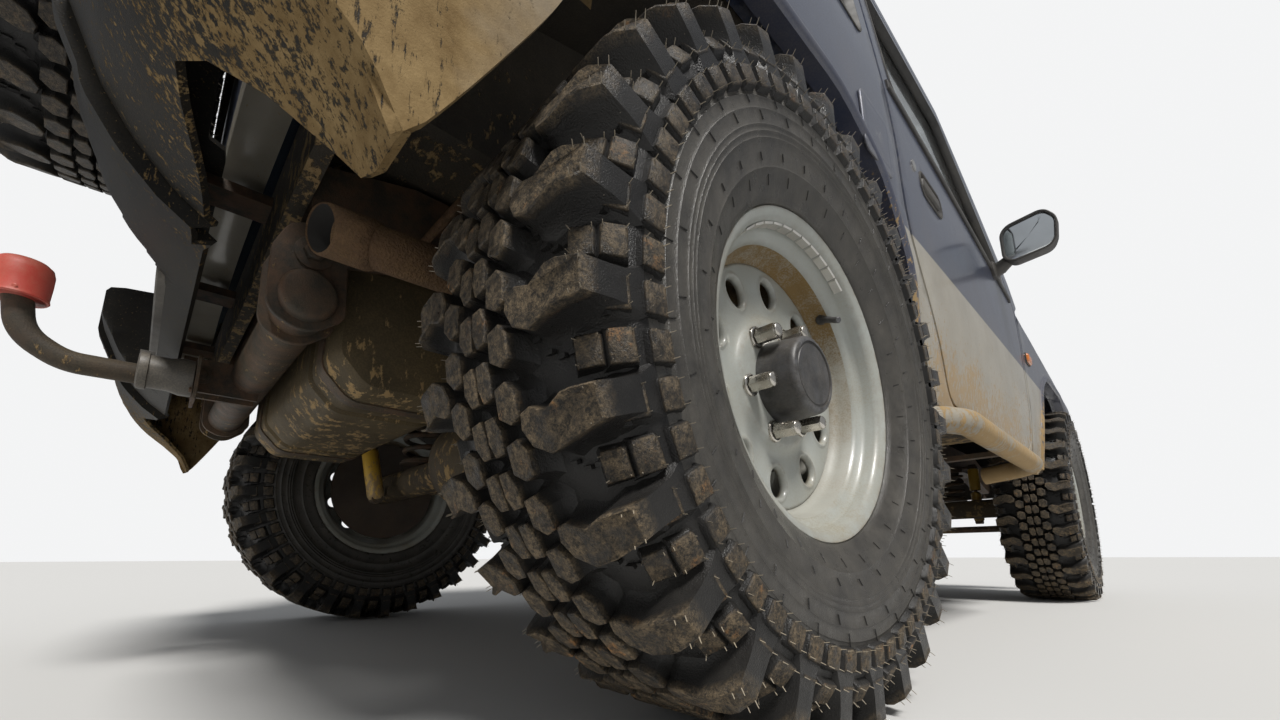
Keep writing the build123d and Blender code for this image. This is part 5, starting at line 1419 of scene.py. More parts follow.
# Rear bumper's right half: plan line (x, y), roll under (z, y), edge at the arch (z, y), lower edge (x, z)
BUMPER_TOP, BUMPER_LOW = 0.7445, 0.432
BUMPER_LINE = mm([(851.5, 500), (852, 545), (846, 590), (832, 625), (806, 652), (765, 670), (710, 680),
    (640, 685), (570, 688), (520, 689), (505, 689.3), (500, 689.5), (472, 690), (467, 690), (430, 691),
    (370, 692), (338, 690), (322, 668), (308, 615), (296, 597), (270, 594), (135, 594), (0, 594)])
BUMPER_ROLL = mm(((430, 498), (470, 520), (500, 552), (535, 598), (570, 630), (610, 656), (660, 678),
    (710, 700), (760, 705)))
BUMPER_ARCH = mm(((430, 500), (450, 484), (547, 430), (620, 393), (700, 362), (745, 352)))
BUMPER_UNDER = mm(((0, 512), (480, 512), (560, 520), (690, 545), (740, 500), (780, 440), (800, 432),
    (860, 432)))
# Ridge strip: its two sides
RIDGE = (0.467, 0.505)
# Notch for the exhaust tip: its two sides and its top
NOTCH = (-0.482, -0.638, 0.604)


def bumper_sheet(u, v, lift=0.0):
    """Right rear bumper skin; u runs from the arch round to the middle, v from the bottom to the top."""
    if u < 1.0:
        z = BUMPER_LOW + v * (BUMPER_TOP - BUMPER_LOW)
        start = smooth(BUMPER_ARCH, z)
        y = start + (min(0.5, along(BUMPER_ROLL, z)) - start) * u
        return Vector((-0.8515 - lift, at(y), z))
    place = min(u - 1.0, len(BUMPER_LINE) - 1.001)
    k = int(place)
    x = BUMPER_LINE[k][0] + (BUMPER_LINE[k + 1][0] - BUMPER_LINE[k][0]) * (place - k)
    y = BUMPER_LINE[k][1] + (BUMPER_LINE[k + 1][1] - BUMPER_LINE[k][1]) * (place - k)
    low = along(BUMPER_UNDER, x)
    z = low + v * (BUMPER_TOP - low)
    y = min(y, along(BUMPER_ROLL, z)) + lift
    out = lift if x > 0.8 else 0.0
    return Vector((-x - out, at(y), z))


def make_rear_bumper():
    """Bumper skin with ridge strips, shelf and exhaust notch, its mounts, blank plate and lamps."""
    columns = [0.0, 0.12, 0.3, 0.5, 0.7, 0.86] + [1.0 + k * 0.5
        for k in range(2 * len(BUMPER_LINE) - 2)] + [22.999]
    rows = [k / 22 for k in range(23)]
    halves = []
    for way in (-1, 1):
        bm = bmesh.new()
        grid = []
        for u in columns:
            line = []
            for v in rows:
                p = bumper_sheet(u, v)
                if RIDGE[0] - 0.004 < -p.x < RIDGE[1] + 0.004:
                    inside = RIDGE[0] + 0.001 < -p.x < RIDGE[1] - 0.003
                    p.y += 0.01 if inside else -0.006
                    p.z -= 0.007 if inside and v < 0.5 else 0.0
                if v > 0.98:
                    p = p + Vector((0.008 if -p.x > 0.8 else 0.0, -0.006, -0.001))
                line.append(bm.verts.new((-way * p.x, p.y, p.z)))
            grid.append(line)
        for a, b in zip(grid, grid[1:]):
            for k in range(len(rows) - 1):
                bm.faces.new((a[k], b[k], b[k + 1], a[k + 1]))
        shelf = [bm.verts.new((v[-1].co.x * (0.94 if abs(v[-1].co.x) > 0.64 else 1.0),
            min(v[-1].co.y - 0.03, at(0.58)), BUMPER_TOP)) for v in grid]
        for k in range(len(grid) - 1):
            bm.faces.new((grid[k][-1], grid[k + 1][-1], shelf[k + 1], shelf[k]))
        bmesh.ops.remove_doubles(bm, verts=bm.verts, dist=2e-5)
        if way == 1:
            for axis, place in ((0, NOTCH[0]), (0, NOTCH[1]), (2, NOTCH[2])):
                cut(bm, axis, place, 1e-5)
            middles = [(face, face.calc_center_median()) for face in bm.faces]
            gone = [face for face, c in middles if NOTCH[1] < c.x < NOTCH[0] and c.z < NOTCH[2]]
            bmesh.ops.delete(bm, geom=gone, context="FACES")
        bmesh.ops.recalc_face_normals(bm, faces=bm.faces)
        out = sum((face.normal.y + face.normal.x * way * -1) * face.calc_area() for face in bm.faces)
        if out < 0:
            bmesh.ops.reverse_faces(bm, faces=bm.faces)
        mesh = bpy.data.meshes.new("bumper_half")
        bm.to_mesh(mesh)
        bm.free()
        mesh.materials.append(BUMPER)
        obj = linked("bumper_half", mesh)
        walled(obj, 0.007)
        shade(obj.data, 42)
        halves.append(obj)
    whole = joined("rear_bumper_dressed", halves)
    settled(whole, "body", ("rear_bumper",))
    mounts = Shell()
    for x in (-0.6, -0.2, 0.2, 0.6):
        mounts.block((x - 0.03, at(0.4945), 0.722), (x + 0.03, at(0.585), 0.738))
    piece("bumper_mounts", mounts, [CHASSIS], "body", angle=30)
    plate = Shell()
    frame_line = arcs(rect(-0.298, 0.533, 0.236, 0.657, 0.01))
    lean = upright(0.59, 0.05, 0.53)
    pressed(plate, frame_line, ((0, 0), (0, 12), (-2, 14), (-8, 14), (-9, 9)), lean)
    pressed(plate, frame_line, ((-9, 8), (-10.5, 10.5), (-12, 11.5), (-18, 11.8), (-19.5, 10.8)), lean, 1)
    piece("blank_plate", plate, [TRIM, PLATE_WHITE], "body")
    hexes = Shell()
    for x in (-0.215, 0.0, 0.215):
        shape = [(x + a, 0.697 + b) for a, b in ((-0.048, 0.0), (-0.026, -0.024), (0.026, -0.024),
            (0.048, 0.0), (0.026, 0.024), (-0.026, 0.024))]
        pressed(hexes, arcs(shape, 0.005), ((3, -1), (3, 4), (0, 5), (-3, 3), (-6, -18)), upright(0.5945))
        if x:
            hexes.tube([(x, at(0.58), 0.697), (x, at(0.5985), 0.697), (x, at(0.6005), 0.697)],
                [0.014, 0.014, 0.01], 16, 1)
    lamp = Shell()
    for way in (-1, 1):
        face = lambda a, b, lift=0.0: Vector((way * a, at(0.6895 - 0.02 * max(0.0, a - 0.6) + lift), b))
        shape = arcs(mm([(512, 690, 8), (660, 694, 12), (660, 736, 12), (512, 736, 8)]))
        pressed(lamp, shape, ((3, -4), (3, 4), (0, 5.5), (-2, 4)), face, caps=OPEN)
        pressed(lamp, grown(shape, -0.002), ((0, 3), (0, 6), (-3, 8.5), (-10, 9.5)), face, 1)
    piece("bumper_lamps", lamp, [LAMP_CLEAR, LAMP_RED], "body")
    piece("plate_lamps", hexes, [SOOT, LAMP_CLEAR], "body", angle=35)


make_rear_bumper()

# Pipes, running gear and fittings
def bend(points, radius, pieces=6):
    """Line through points with its corners rounded."""
    line = [Vector(points[0])]
    for before, here, after in zip(points, points[1:], points[2:]):
        here, a, b = Vector(here), Vector(before) - Vector(here), Vector(after) - Vector(here)
        angle = a.angle(b)
        reach = min(radius / math.tan(angle / 2), 0.48 * a.length, 0.48 * b.length)
        start, end = here + a.normalized() * reach, here + b.normalized() * reach
        for j in range(pieces + 1):
            s = j / pieces
            line.append(start * (1 - s) ** 2 + here * (2 * s * (1 - s)) + end * s ** 2)
    return line + [Vector(points[-1])]


def slab(shell, outline, rows, slot=0):
    """Form across the car over an outline of Y and Z; rows are (X, spread of the outline)."""
    shell.loft([[(x, at(a), b) for a, b in grown(outline, spread)] for x, spread in rows], slot)


def between(start, end, shares):
    """Points at shares of the way from one point to another."""
    return [start + (end - start) * share for share in shares]


def placed(points):
    """Points with Y counted from the rear axle, in metres from millimetres."""
    return [(x / 1000, at(y / 1000), z / 1000) for x, y, z in points]


def sides_of(shell):
    """Adds the mirror image of everything in a shell."""
    twin = Shell()
    twin.add([(-x, y, z) for x, y, z in shell.points], [face[::-1] for face in shell.faces], 0,
        shell.marks)
    twin.slots = list(shell.slots)
    shell.add(twin.points, twin.faces, 0, twin.marks)
    shell.slots[-len(twin.slots):] = twin.slots
    return shell


def make_exhaust():
    """Rusty exhaust with muffler, hangers and a slash-cut open tip."""
    points = [(-190, -2060, 500), (-190, -1960, 458), (-190, -1640, 442), (-190, -1580, 400),
        (-190, -1000, 400), (-250, -930, 410), (-490, -880, 412), (-525, -800, 422), (-525, -300, 450),
        (-545, -90, 563), (-550, 90, 567), (-588, 300, 514), (-574, 420, 518), (-522, 500, 545)]
    line = bend(placed(points), 0.09, 7)
    way = (line[-1] - line[-2]).normalized()
    shell = Shell()
    shell.tube(line[:-1] + [line[-1] - way * 0.049], 0.0245, 28, caps=FIRST)
    open_side = Vector((-0.86, 0.11, -0.5))
    open_side = (open_side - way * open_side.dot(way)).normalized()
    across = way.cross(open_side)
    rings = []
    for r, back, slashed in ((0.0245, -0.088, 0), (0.0262, -0.086, 0), (0.0284, -0.08, 0),
            (0.0286, -0.072, 0), (0.0286, 0.003, 1), (0.0282, 0.0045, 1), (0.0262, 0.0045, 1),
            (0.0258, 0.002, 1), (0.025, -0.07, 0), (0.0205, -0.072, 0)):
        ring = []
        for a in turns(32):
            slash = 1.1 * r * (1 + math.cos(a)) * slashed
            ring.append(line[-1] + open_side * (r * math.cos(a)) + across * (r * math.sin(a)) +
                way * (back - slash))
        rings.append(ring)
    shell.loft(rings[:8], caps=OPEN)
    shell.loft(rings[7:], 1, caps=LAST)
    start, end = Vector(placed([(-190, -1950, 458)])[0]), Vector(placed([(-190, -1650, 443)])[0])
    stops = between(start, end, (0.0, 0.0, 0.04, 0.07, 0.1, 0.9, 0.93, 0.96, 1.0, 1.0))
    shell.tube(stops, mm([26, 45, 56, 59.5, 57.5, 57.5, 59.5, 56, 45, 26]), 32)
    for x, y, z, r in ((-0.19, -1.33, 0.4, 0.032), (-0.525, -0.55, 0.4365, 0.031),
            (-0.5485, 0.05, 0.566, 0.031)):
        for dy in (-0.018, 0.018):
            shell.tube([(x, at(y + dy - 0.004), z), (x, at(y + dy + 0.004), z)], r, 24)
    shell.block((-0.198, at(-1.508), 0.418), (-0.182, at(-1.492), 0.4295))
    hook = bend([(-0.59, at(0.345), 0.535), (-0.59, at(0.345), 0.618), (-0.43, at(0.345), 0.618)], 0.02)
    shell.tube(hook, 0.006, 10)
    shell.tube([(-0.575, at(0.345), 0.508), (-0.592, at(0.345), 0.528), (-0.59, at(0.345), 0.545)], 0.009,
        10)
    dressed("exhaust", shell, [RUST, SOOT])


def bolt(shell, place, way, r, slot=0):
    """Bolt head on a flanged washer, its axis along way."""
    way = Vector(way).normalized()
    start = Vector((0, 0, 1)) if abs(way.z) < 0.9 else Vector((1, 0, 0))
    across = way.cross(start).normalized()
    up = way.cross(across)
    for rows, sides in ((((0.0, 1.75), (0.16, 1.75), (0.22, 1.6)), 20),
            (((0.2, 1.0), (0.75, 1.0), (0.9, 0.8)), 6)):
        rings = [[Vector(place) + way * (rise * r) + across * a + up * b
            for a, b in circle(wide * r, sides)] for rise, wide in rows]
        shell.loft(rings, slot, caps=LAST)


# Radius of the tow ball
BALL = 0.0248


def make_tow_bar():
    """Cross tube on plate brackets with its gooseneck, ball, cap and socket."""
    shell = Shell()
    y, z = at(0.465), 0.505
    stops = [(x, y, z) for x in (-0.442, -0.44, -0.436, 0.436, 0.44, 0.442)]
    shell.tube(stops, mm([26, 30, 31.8, 31.8, 30, 26]), 32)
    for way in (-1, 1):
        for x in (0.361, 0.419):
            shape = arcs(mm([(420, 490, 20), (428, 612, 20), (492, 602, 30), (508, 560, 20),
                (506, 478, 30), (462, 456, 40)]))
            rows = ((-0.004, -0.001), (-0.003, 0.0), (0.003, 0.0), (0.004, -0.001))
            slab(shell, shape, [(way * (x + lift), spread) for lift, spread in rows])
        bolt(shell, (way * 0.4235, at(0.464), 0.566), (way, 0, 0), 0.0125)
        bolt(shell, (way * 0.4235, at(0.478), 0.505), (way, 0, 0), 0.01)
        shell.block((way * 0.365, at(0.425), 0.598), (way * 0.415, at(0.492), 0.604))
    ball_place = (0, at(0.75), 0.0)
    neck = bend(placed([(0, 470, 505), (0, 560, 481), (0, 692, 481), (0, 740, 512), (0, 750, 570)]), 0.07,
        8)
    shell.tube(neck, 0.0165, 24)
    for dx in (-0.026, 0.018):
        shell.block((dx, at(0.455), 0.462), (dx + 0.008, at(0.56), 0.52))
    bolt(shell, (-0.026, at(0.535), 0.492), (-1, 0, 0), 0.009)
    arc = [math.pi * k / 16 for k in range(2, 17)]
    ball = [(0.568 + 0.0225 - BALL * math.cos(a), BALL * math.sin(a) + 0.0005) for a in arc]
    shell.turned([(0.562, 0.016), (0.568, 0.012)] + ball, 28, axis="Z", centre=ball_place)
    dressed("tow_bar", shell, [CHASSIS])
    cap = Shell()
    cap.turned(mm([(562.5, 27), (562.2, 31.5), (564, 32.8), (568, 31.8), (590, 32.6), (606, 32.5),
        (615, 30), (620.5, 24), (621.8, 15), (621.9, 1)]), 40, axis="Z", centre=ball_place)
    cap.turned(mm([(562.5, 27), (570, 27.5), (610, 27), (615, 1)]), 40, axis="Z", centre=ball_place)
    cap.tube([(-0.031, at(0.75), 0.57), (-0.0325, at(0.7505), 0.5695)], [0.004, 0.0025], 8)
    piece("ball_cap_dressed", cap, [RED_CAP], "body", ("tow_ball_cap",))
    plug = Shell()
    x, z = -0.07, 0.47
    plug.turned([(at(0.545), 0.02), (at(0.546), 0.029), (at(0.56), 0.0298), (at(0.575), 0.026),
        (at(0.598), 0.0258), (at(0.599), 0.0288), (at(0.603), 0.0292), (at(0.609), 0.0285),
        (at(0.611), 0.025), (at(0.6112), 0.001)], 32, axis="Y", centre=(x, 0, z))
    plug.block((x - 0.01, at(0.594), z + 0.024), (x + 0.01, at(0.611), z + 0.0295))
    plate = [(-0.109, 0.432), (-0.0175, 0.432), (-0.0175, 0.503), (-0.109, 0.503)]
    pressed(plug, arcs(plate, 0.01), ((0, 0), (0, 4), (-1, 5)), upright(0.5445, way=-1), 1, caps=BOTH)
    for dx, dz in ((-0.026, -0.026), (0.026, 0.026)):
        bolt(plug, (x + dx * 0.8, at(0.5455), z + dz * 0.9), (0, 1, 0), 0.0045, 1)
    dressed("trailer_socket", plug, [TRIM, CHASSIS])


# Roof basket: half width, front and back stations, heights of its two rails
RACK_SIDE, RACK_FRONT, RACK_BACK, RACK_LOW, RACK_TOP = 0.589, -0.989, 0.319, 1.801, 1.901


def make_steps_and_rack():
    """Side step tubes and the roof basket with its wires."""
    step = Shell()
    line = bend(placed([(715, -1470, 452), (825, -1450, 462), (865, -1360, 462), (865, -640, 462),
        (825, -550, 462), (715, -530, 452)]), 0.1, 8)
    step.tube(line, 0.0278, 28)
    for y in (-1.26, -0.76):
        step.block((0.426, at(y - 0.015), 0.482), (0.858, at(y + 0.015), 0.497), 1)
        step.block((0.835, at(y - 0.022), 0.47), (0.875, at(y + 0.022), 0.4895), 1)
        bolt(step, (0.855, at(y), 0.4895), (0, 0, 1), 0.008, 1)
    dressed("side_steps", sides_of(step), [STEP_PAINT, CHASSIS])
    rack = Shell()
    for z in (RACK_TOP, RACK_LOW):
        outline = arcs(rect(-RACK_SIDE, RACK_FRONT, RACK_SIDE, RACK_BACK, 0.095))
        ring = [Vector((x, at(y), z)) for x, y in outline]
        swept(rack, ring, circle(0.0105, 14), 0, True)
    for y in (-0.84, 0.17):
        for way in (-1, 1):
            rack.tube(bend([(way * 0.572, at(y), 1.724), (way * 0.572, at(y), 1.785),
                (way * 0.589, at(y), 1.8)], 0.02), 0.011)
            rack.block((way * 0.553, at(y - 0.02), 1.7255), (way * 0.593, at(y + 0.02), 1.738))
    piece("rack_frame", rack, [RACK], "body", ("roof_rack",), angle=45)
    wires = []
    posts = [[(x, at(-0.88), z) for z in (RACK_LOW, RACK_TOP)] for x in (RACK_SIDE, -RACK_SIDE)]
    ends = [[(-0.45, at(y), z) for z in (RACK_LOW, RACK_TOP)] for y in (RACK_FRONT, RACK_BACK)]
    slat = [[(x, at(-0.9), 1.796) for x in (-0.587, 0.587)]]
    for name, lines, radius, sides, count, step in (("post", posts, 0.0038, 8, 23, (0.0, 0.05, 0.0)),
            ("end", ends, 0.0038, 8, 19, (0.05, 0.0, 0.0)),
            ("slat", slat, 0.0075, 12, 9, (0.0, 0.142, 0.0))):
        shell = Shell()
        for line in lines:
            shell.tube(line, radius, sides)
        wires.append(repeated(built(name, shell, [RACK]), ROW_OF, RACK, Count=count, Step=step))
    settled(joined("rack_wires", wires), "body")


STEP_PAINT = finish_material("step_paint", (0.24, 0.225, 0.19), 0.6, grain=(500.0, 30.0, 0.7),
    bump=(0.5, 0.0008), wear=((0.36, 0.35, 0.33), 0.6, 25.0), dust=((0.34, 0.28, 0.19), 0.9, 0.3, 1.0,
    6.0), mud=(1.1, 0.5, 0.12, 55.0))


def coil(shell, centre, radius, wire, low, high, windings):
    """Upright coil spring with flattened ends."""
    line = []
    for k in range(int(windings * 20) + 1):
        turn = 2 * math.pi * k / 20
        share = k / (windings * 20)
        rise = min(max((share - 0.08) / 0.84, 0.0), 1.0)
        line.append((centre[0] + radius * math.cos(turn), centre[1] + radius * math.sin(turn),
            low + (high - low) * rise))
    shell.tube(line, wire)


# Plates that hold a spring, (height, radius)
SPRING_FOOT = mm([(455.2, 58), (455.2, 58.5), (459, 58.5), (460, 52), (468, 30), (478, 26), (479, 1)])
SPRING_HEAD = mm([(609.2, 1), (609, 56), (606, 56), (600, 38), (572, 31), (560, 20), (558, 1)])


def make_running_gear():
    """Springs, shock absorbers, rear axle, trailing arms and fuel tank."""
    springs = Shell()
    for y in (0.0, FRONT_AXLE):
        for way in (-1, 1):
            centre = (way * 0.39, at(y))
            coil(springs, centre, 0.047, 0.0072, 0.463, 0.6015, 4.5)
            for plate in (SPRING_FOOT, SPRING_HEAD):
                springs.turned(plate, 28, axis="Z", centre=(*centre, 0))
    dressed("coil_springs", springs, [CHASSIS])
    dampers = Shell()
    for axle, way, lean in ((0.0, 1, 0.06), (FRONT_AXLE, -1, 0.0)):
        for x in (-0.47, 0.47):
            low = Vector((x, at(axle + way * 0.09), 0.349))
            high = Vector((x, at(axle + way * (0.09 + lean)), 0.64))
            run = high - low
            stops = between(low, high, (0.02, 0.05, 0.06, 0.5, 0.51, 0.53))
            dampers.tube(stops, mm([18, 22, 22.5, 22.5, 20, 12]), 24)
            dampers.tube([low + run * 0.52, low + run * 0.9], 0.0075, 14, 1)
            stops = between(low, high, (0.56, 0.57, 0.92, 0.94))
            dampers.tube(stops, mm([23.5, 24, 24, 16]), 24, caps=LAST)
            for place in (low + run * 0.03, low + run * 0.965):
                dampers.tube([place - Vector((0.016, 0, 0)), place + Vector((0.016, 0, 0))], 0.0155, 20,
                    1)
            side_way = 1 if x > 0 else -1
            eye = high - run * 0.035
            pin = [eye - Vector((side_way * 0.0445, 0, 0)), eye + Vector((side_way * 0.02, 0, 0))]
            dampers.tube(pin, 0.0075, 12, 1)
    dressed("shock_absorbers", dampers, [YELLOW, CHASSIS])
    axle = Shell()
    z = HUB["rear_right"].z
    centre = (0, REAR_Y, z)
    axle.turned(mm([(-700, 44), (-150, 44), (-130, 50), (-95, 88), (-60, 111), (0, 114.8), (20, 114.8),
        (60, 110), (95, 88), (130, 50), (150, 44), (700, 44)]), 40, centre=centre)
    for way in (-1, 1):
        drum = [(0.697, 0.05), (0.697, 0.118), (0.7, 0.1245), (0.709, 0.1245), (0.712, 0.119),
            (0.735, 0.118), (0.765, 0.114), (0.772, 0.105), (0.776, 0.062), (0.786, 0.06), (0.7864, 0.03)]
        axle.turned([(way * a, r) for a, r in drum], 48, centre=centre)
    for a, b in circle(0.103, 12):
        bolt(axle, (0.032, REAR_Y + a, z + b), (1, 0, 0), 0.0055)
    nose_line = [(0, at(-0.152), z + 0.01), (0, at(-0.148), z + 0.01), (0, at(-0.12), z + 0.01),
        (0, at(-0.05), z)]
    axle.tube(nose_line, mm([40, 47.5, 45, 70]), 28)
    for x in (-0.333, 0.333):
        axle.block((x - 0.016, at(-0.0595), z - 0.043), (x + 0.016, at(0.0), z - 0.014))
    for x in (-0.47, 0.47):
        axle.block((x - 0.012, at(0.0), z - 0.042), (x + 0.012, at(0.0655), z - 0.014))
    dressed("rear_axle", axle, [CASTING])
    arms = Shell()
    for way_x in (-1, 1):
        x = way_x * 0.333
        for y0, z0, y1, z1 in ((-0.0605, 0.381, -0.778, 0.52), (-2.2895, 0.381, -1.532, 0.52)):
            low, high = Vector((x, at(y0), z0)), Vector((x, at(y1), z1))
            arms.tube(between(low, high, (0.0, 0.004, 0.03, 0.05, 0.95, 0.98, 1.0)),
                mm([16, 19.2, 19.5, 16.5, 16.5, 19.5, 17]), 20)
            step = (y1 - y0) / abs(y1 - y0)
            arms.block((x, at(y1 - step * 0.04), 0.505), (way_x * 0.3545, at(y1 - step * 0.01), 0.53))
    dressed("trailing_arms", arms, [CHASSIS])
    tank = Shell()
    outline = arcs(mm([(171, 470, 30), (220, 426, 40), (370, 426, 40), (411, 470, 30), (411, 624, 20),
        (171, 624, 20)]))
    rows = mm([(180, 0), (185, -6), (205, -6), (210, 0), (338, 0), (349.5, -6), (353.5, -20)])
    slab(tank, outline, [(-x, spread) for x, spread in reversed(rows)] + rows)
    for x in (-0.262, 0.262):
        slab(tank, outline, [(x + dx, 0.0028) for dx in (-0.016, 0.016)], 1)
    dressed("fuel_tank", tank, [TANK, CHASSIS])


def make_lamps_and_mirrors():
    """Head and tail lamps, side markers and door mirrors."""
    lamp = Shell()
    face = upright(NOSE - 0.004, way=-1)
    box_line = arcs(rect(0.6555, 0.7905, 0.7995, 0.9445, 0.02))
    pressed(lamp, box_line, ((0, -58), (0, -4), (-3, 0), (-10, 0.5), (-12, -3)), face, caps=FIRST)
    pressed(lamp, box_line, ((-12, -3), (-30, -30), (-45, -40)), face, 1)
    pressed(lamp, grown(box_line, -0.0115), ((0, -3.5), (-4, 0), (-30, 0.8)), face, 2)
    piece("head_lamps", sides_of(lamp), [TRIM, MIRROR, LAMP_CLEAR], "body", ("lamps",))
    rear = Shell()
    back = upright(0.5605)
    for low, high, slot in ((0.8015, 0.87, 1), (0.873, 0.935, 3), (0.938, 1.0085, 2)):
        shape = arcs(rect(0.68, low, 0.78, high, 0.008))
        pressed(rear, shape, ((-1, 4), (-1, 16), (-4, 21), (-12, 22.8)), back, slot)
    shape = arcs(rect(0.6755, 0.8003, 0.7845, 1.0097, 0.012))
    pressed(rear, shape, ((0, 0), (0, 10), (-2, 11.5), (-12, 12)), back)
    piece("tail_lamps", sides_of(rear), [TRIM, LAMP_RED, LAMP_AMBER, LAMP_CLEAR], "body")
    marker = Shell()
    shape = arcs(rect(-1.735, 0.88, -1.665, 0.915, 0.01))
    pressed(marker, shape, ((3.5, -1), (3.5, 3), (1, 4), (0, 3)), side)
    pressed(marker, shape, ((-0.5, 2), (-1, 7), (-4, 10), (-10, 11.5)), side, 1)
    piece("side_markers", sides_of(marker), [TRIM, LAMP_AMBER], "body")
    mirror = Shell()
    centre_y = at(-1.315)
    shape = arcs(mm([(880, 1092, 35), (1018, 1106, 40), (1028, 1196, 45), (998, 1238, 35),
        (880, 1222, 40)]))
    head = upright(-1.287)
    pressed(mirror, shape, ((-30, -71.8), (-16, -66), (-6, -52), (0, -28), (0, 0), (-2, 1.5), (-6, 1.2),
        (-8.5, -4)), head, caps=FIRST)
    pressed(mirror, grown(shape, -0.0085), ((0, -4), (-1, -3.5), (-30, -3)), head, 1)
    arm = [(0.843, centre_y - 0.006, 1.098), (0.868, centre_y - 0.006, 1.105),
        (0.892, centre_y - 0.004, 1.12), (0.905, centre_y, 1.135)]
    mirror.tube(arm, mm([24, 22, 18, 17]), 20)
    foot = arcs(rect(-1.352, 1.076, -1.284, 1.126, 0.02))
    pressed(mirror, foot, ((0, -1), (0, 8), (-4, 12), (-12, 15)), side)
    both(built("mirror", mirror, [TRIM, MIRROR], 40), "mirror_dressed", "mirror")


make_exhaust()
make_tow_bar()
make_steps_and_rack()
make_running_gear()
make_lamps_and_mirrors()

# Front end, front axle, propeller shafts and brake plates
def make_front_end():
    """Front bumper with fog lamps and towing eyes, grille, radiator core and wipers."""
    shell = Shell()
    half = [(0.8505, -2.862), (0.8505, -2.942), (0.84, -2.975), (0.764, -3.035), (0.72, -3.046),
        (0.42, -3.0685)]
    plan = half + [(-x, y) for x, y in reversed(half)]
    line = bend([(x, at(y), 0.6) for x, y in plan], 0.1)
    section = mm([(7, -79.5), (1, -70), (0, -24), (4, -18), (4, 18), (0, 24), (1, 70), (7, 79.5),
        (45, 79.5), (45, 73), (12, 70), (10, -70), (45, -73), (45, -79.5)])
    swept(shell, line, section)
    for way in (-1, 1):
        shell.block((way * 0.366, at(-3.034), 0.562), (way * 0.414, at(-2.951), 0.638), 1)
        ring = [(at(-3.064), 0.04), (at(-3.0695), 0.046), (at(-3.0698), 0.05), (at(-3.06), 0.053)]
        shell.turned(ring, 32, axis="Y", centre=(way * 0.34, 0, 0.6), caps=OPEN)
        shell.turned([(at(-3.064), 0.0405), (at(-3.066), 0.03), (at(-3.0668), 0.001)], 32, 2, axis="Y",
            centre=(way * 0.34, 0, 0.6), caps=LAST)
        eye = [Vector((way * 0.39, at(-3.004) + 0.026 * math.cos(a), 0.545 + 0.02 * math.sin(a)))
            for a in turns(20)]
        swept(shell, eye, circle(0.0055, 10), 1, True, (1, 0, 0))
    dressed("front_bumper", shell, [TRIM, CHASSIS, LAMP_CLEAR])
    holes = []
    for z in (0.76, 0.806, 0.852, 0.898):
        for low, high in ((-0.43, -0.15), (-0.14, 0.14), (0.15, 0.43)):
            holes.append(arcs(rect(low, z, high, z + 0.026, 0.006)))
    edge = arcs(rect(-0.6255, 0.6905, 0.6255, 0.9495, 0.01))
    front = panel("grille_dressed", [edge] + holes, nose, 0.04, TRIM, (0, -1, 0), (0.08, 0.046), 0.0015,
        0.0)
    settled(front, "body", ("grille",))
    core = Shell()
    core.block((-0.46, at(-2.9305), 0.7), (0.46, at(-2.9275), 0.94))
    piece("radiator_core", core, [SOOT], "body", angle=30)
    wiper = Shell()
    for x, low, high in ((0.36, 0.02, 0.62), (-0.32, -0.62, -0.02)):
        wiper.turned(mm([(1112, 16), (1122, 16), (1127, 10)]), 20, axis="Z", centre=(x, at(-1.655), 0))
        blade = [screen(low + (high - low) * k / 12, 0.055 + 0.02 * k / 12, 0.016) for k in range(13)]
        wiper.tube(blade, [0.002] + [0.0042] * 11 + [0.002], 8)
        rubber = [screen(low + (high - low) * k / 12, 0.05 + 0.02 * k / 12, 0.009) for k in range(13)]
        wiper.tube(rubber, 0.0035, 6)
        wiper.tube([(x, at(-1.655), 1.124), (x - 0.02, at(-1.65), 1.132),
            (blade[6] + Vector((0.0, 0.0, 0.004)))], [0.007, 0.0065, 0.0045], 10)
    for k in range(14):
        x = -0.62 + 1.24 * k / 13
        wiper.block((x - 0.03, at(-1.685), 1.1), (x + 0.03, at(-1.681), 1.1175))
    piece("wipers", wiper, [TRIM], "body")


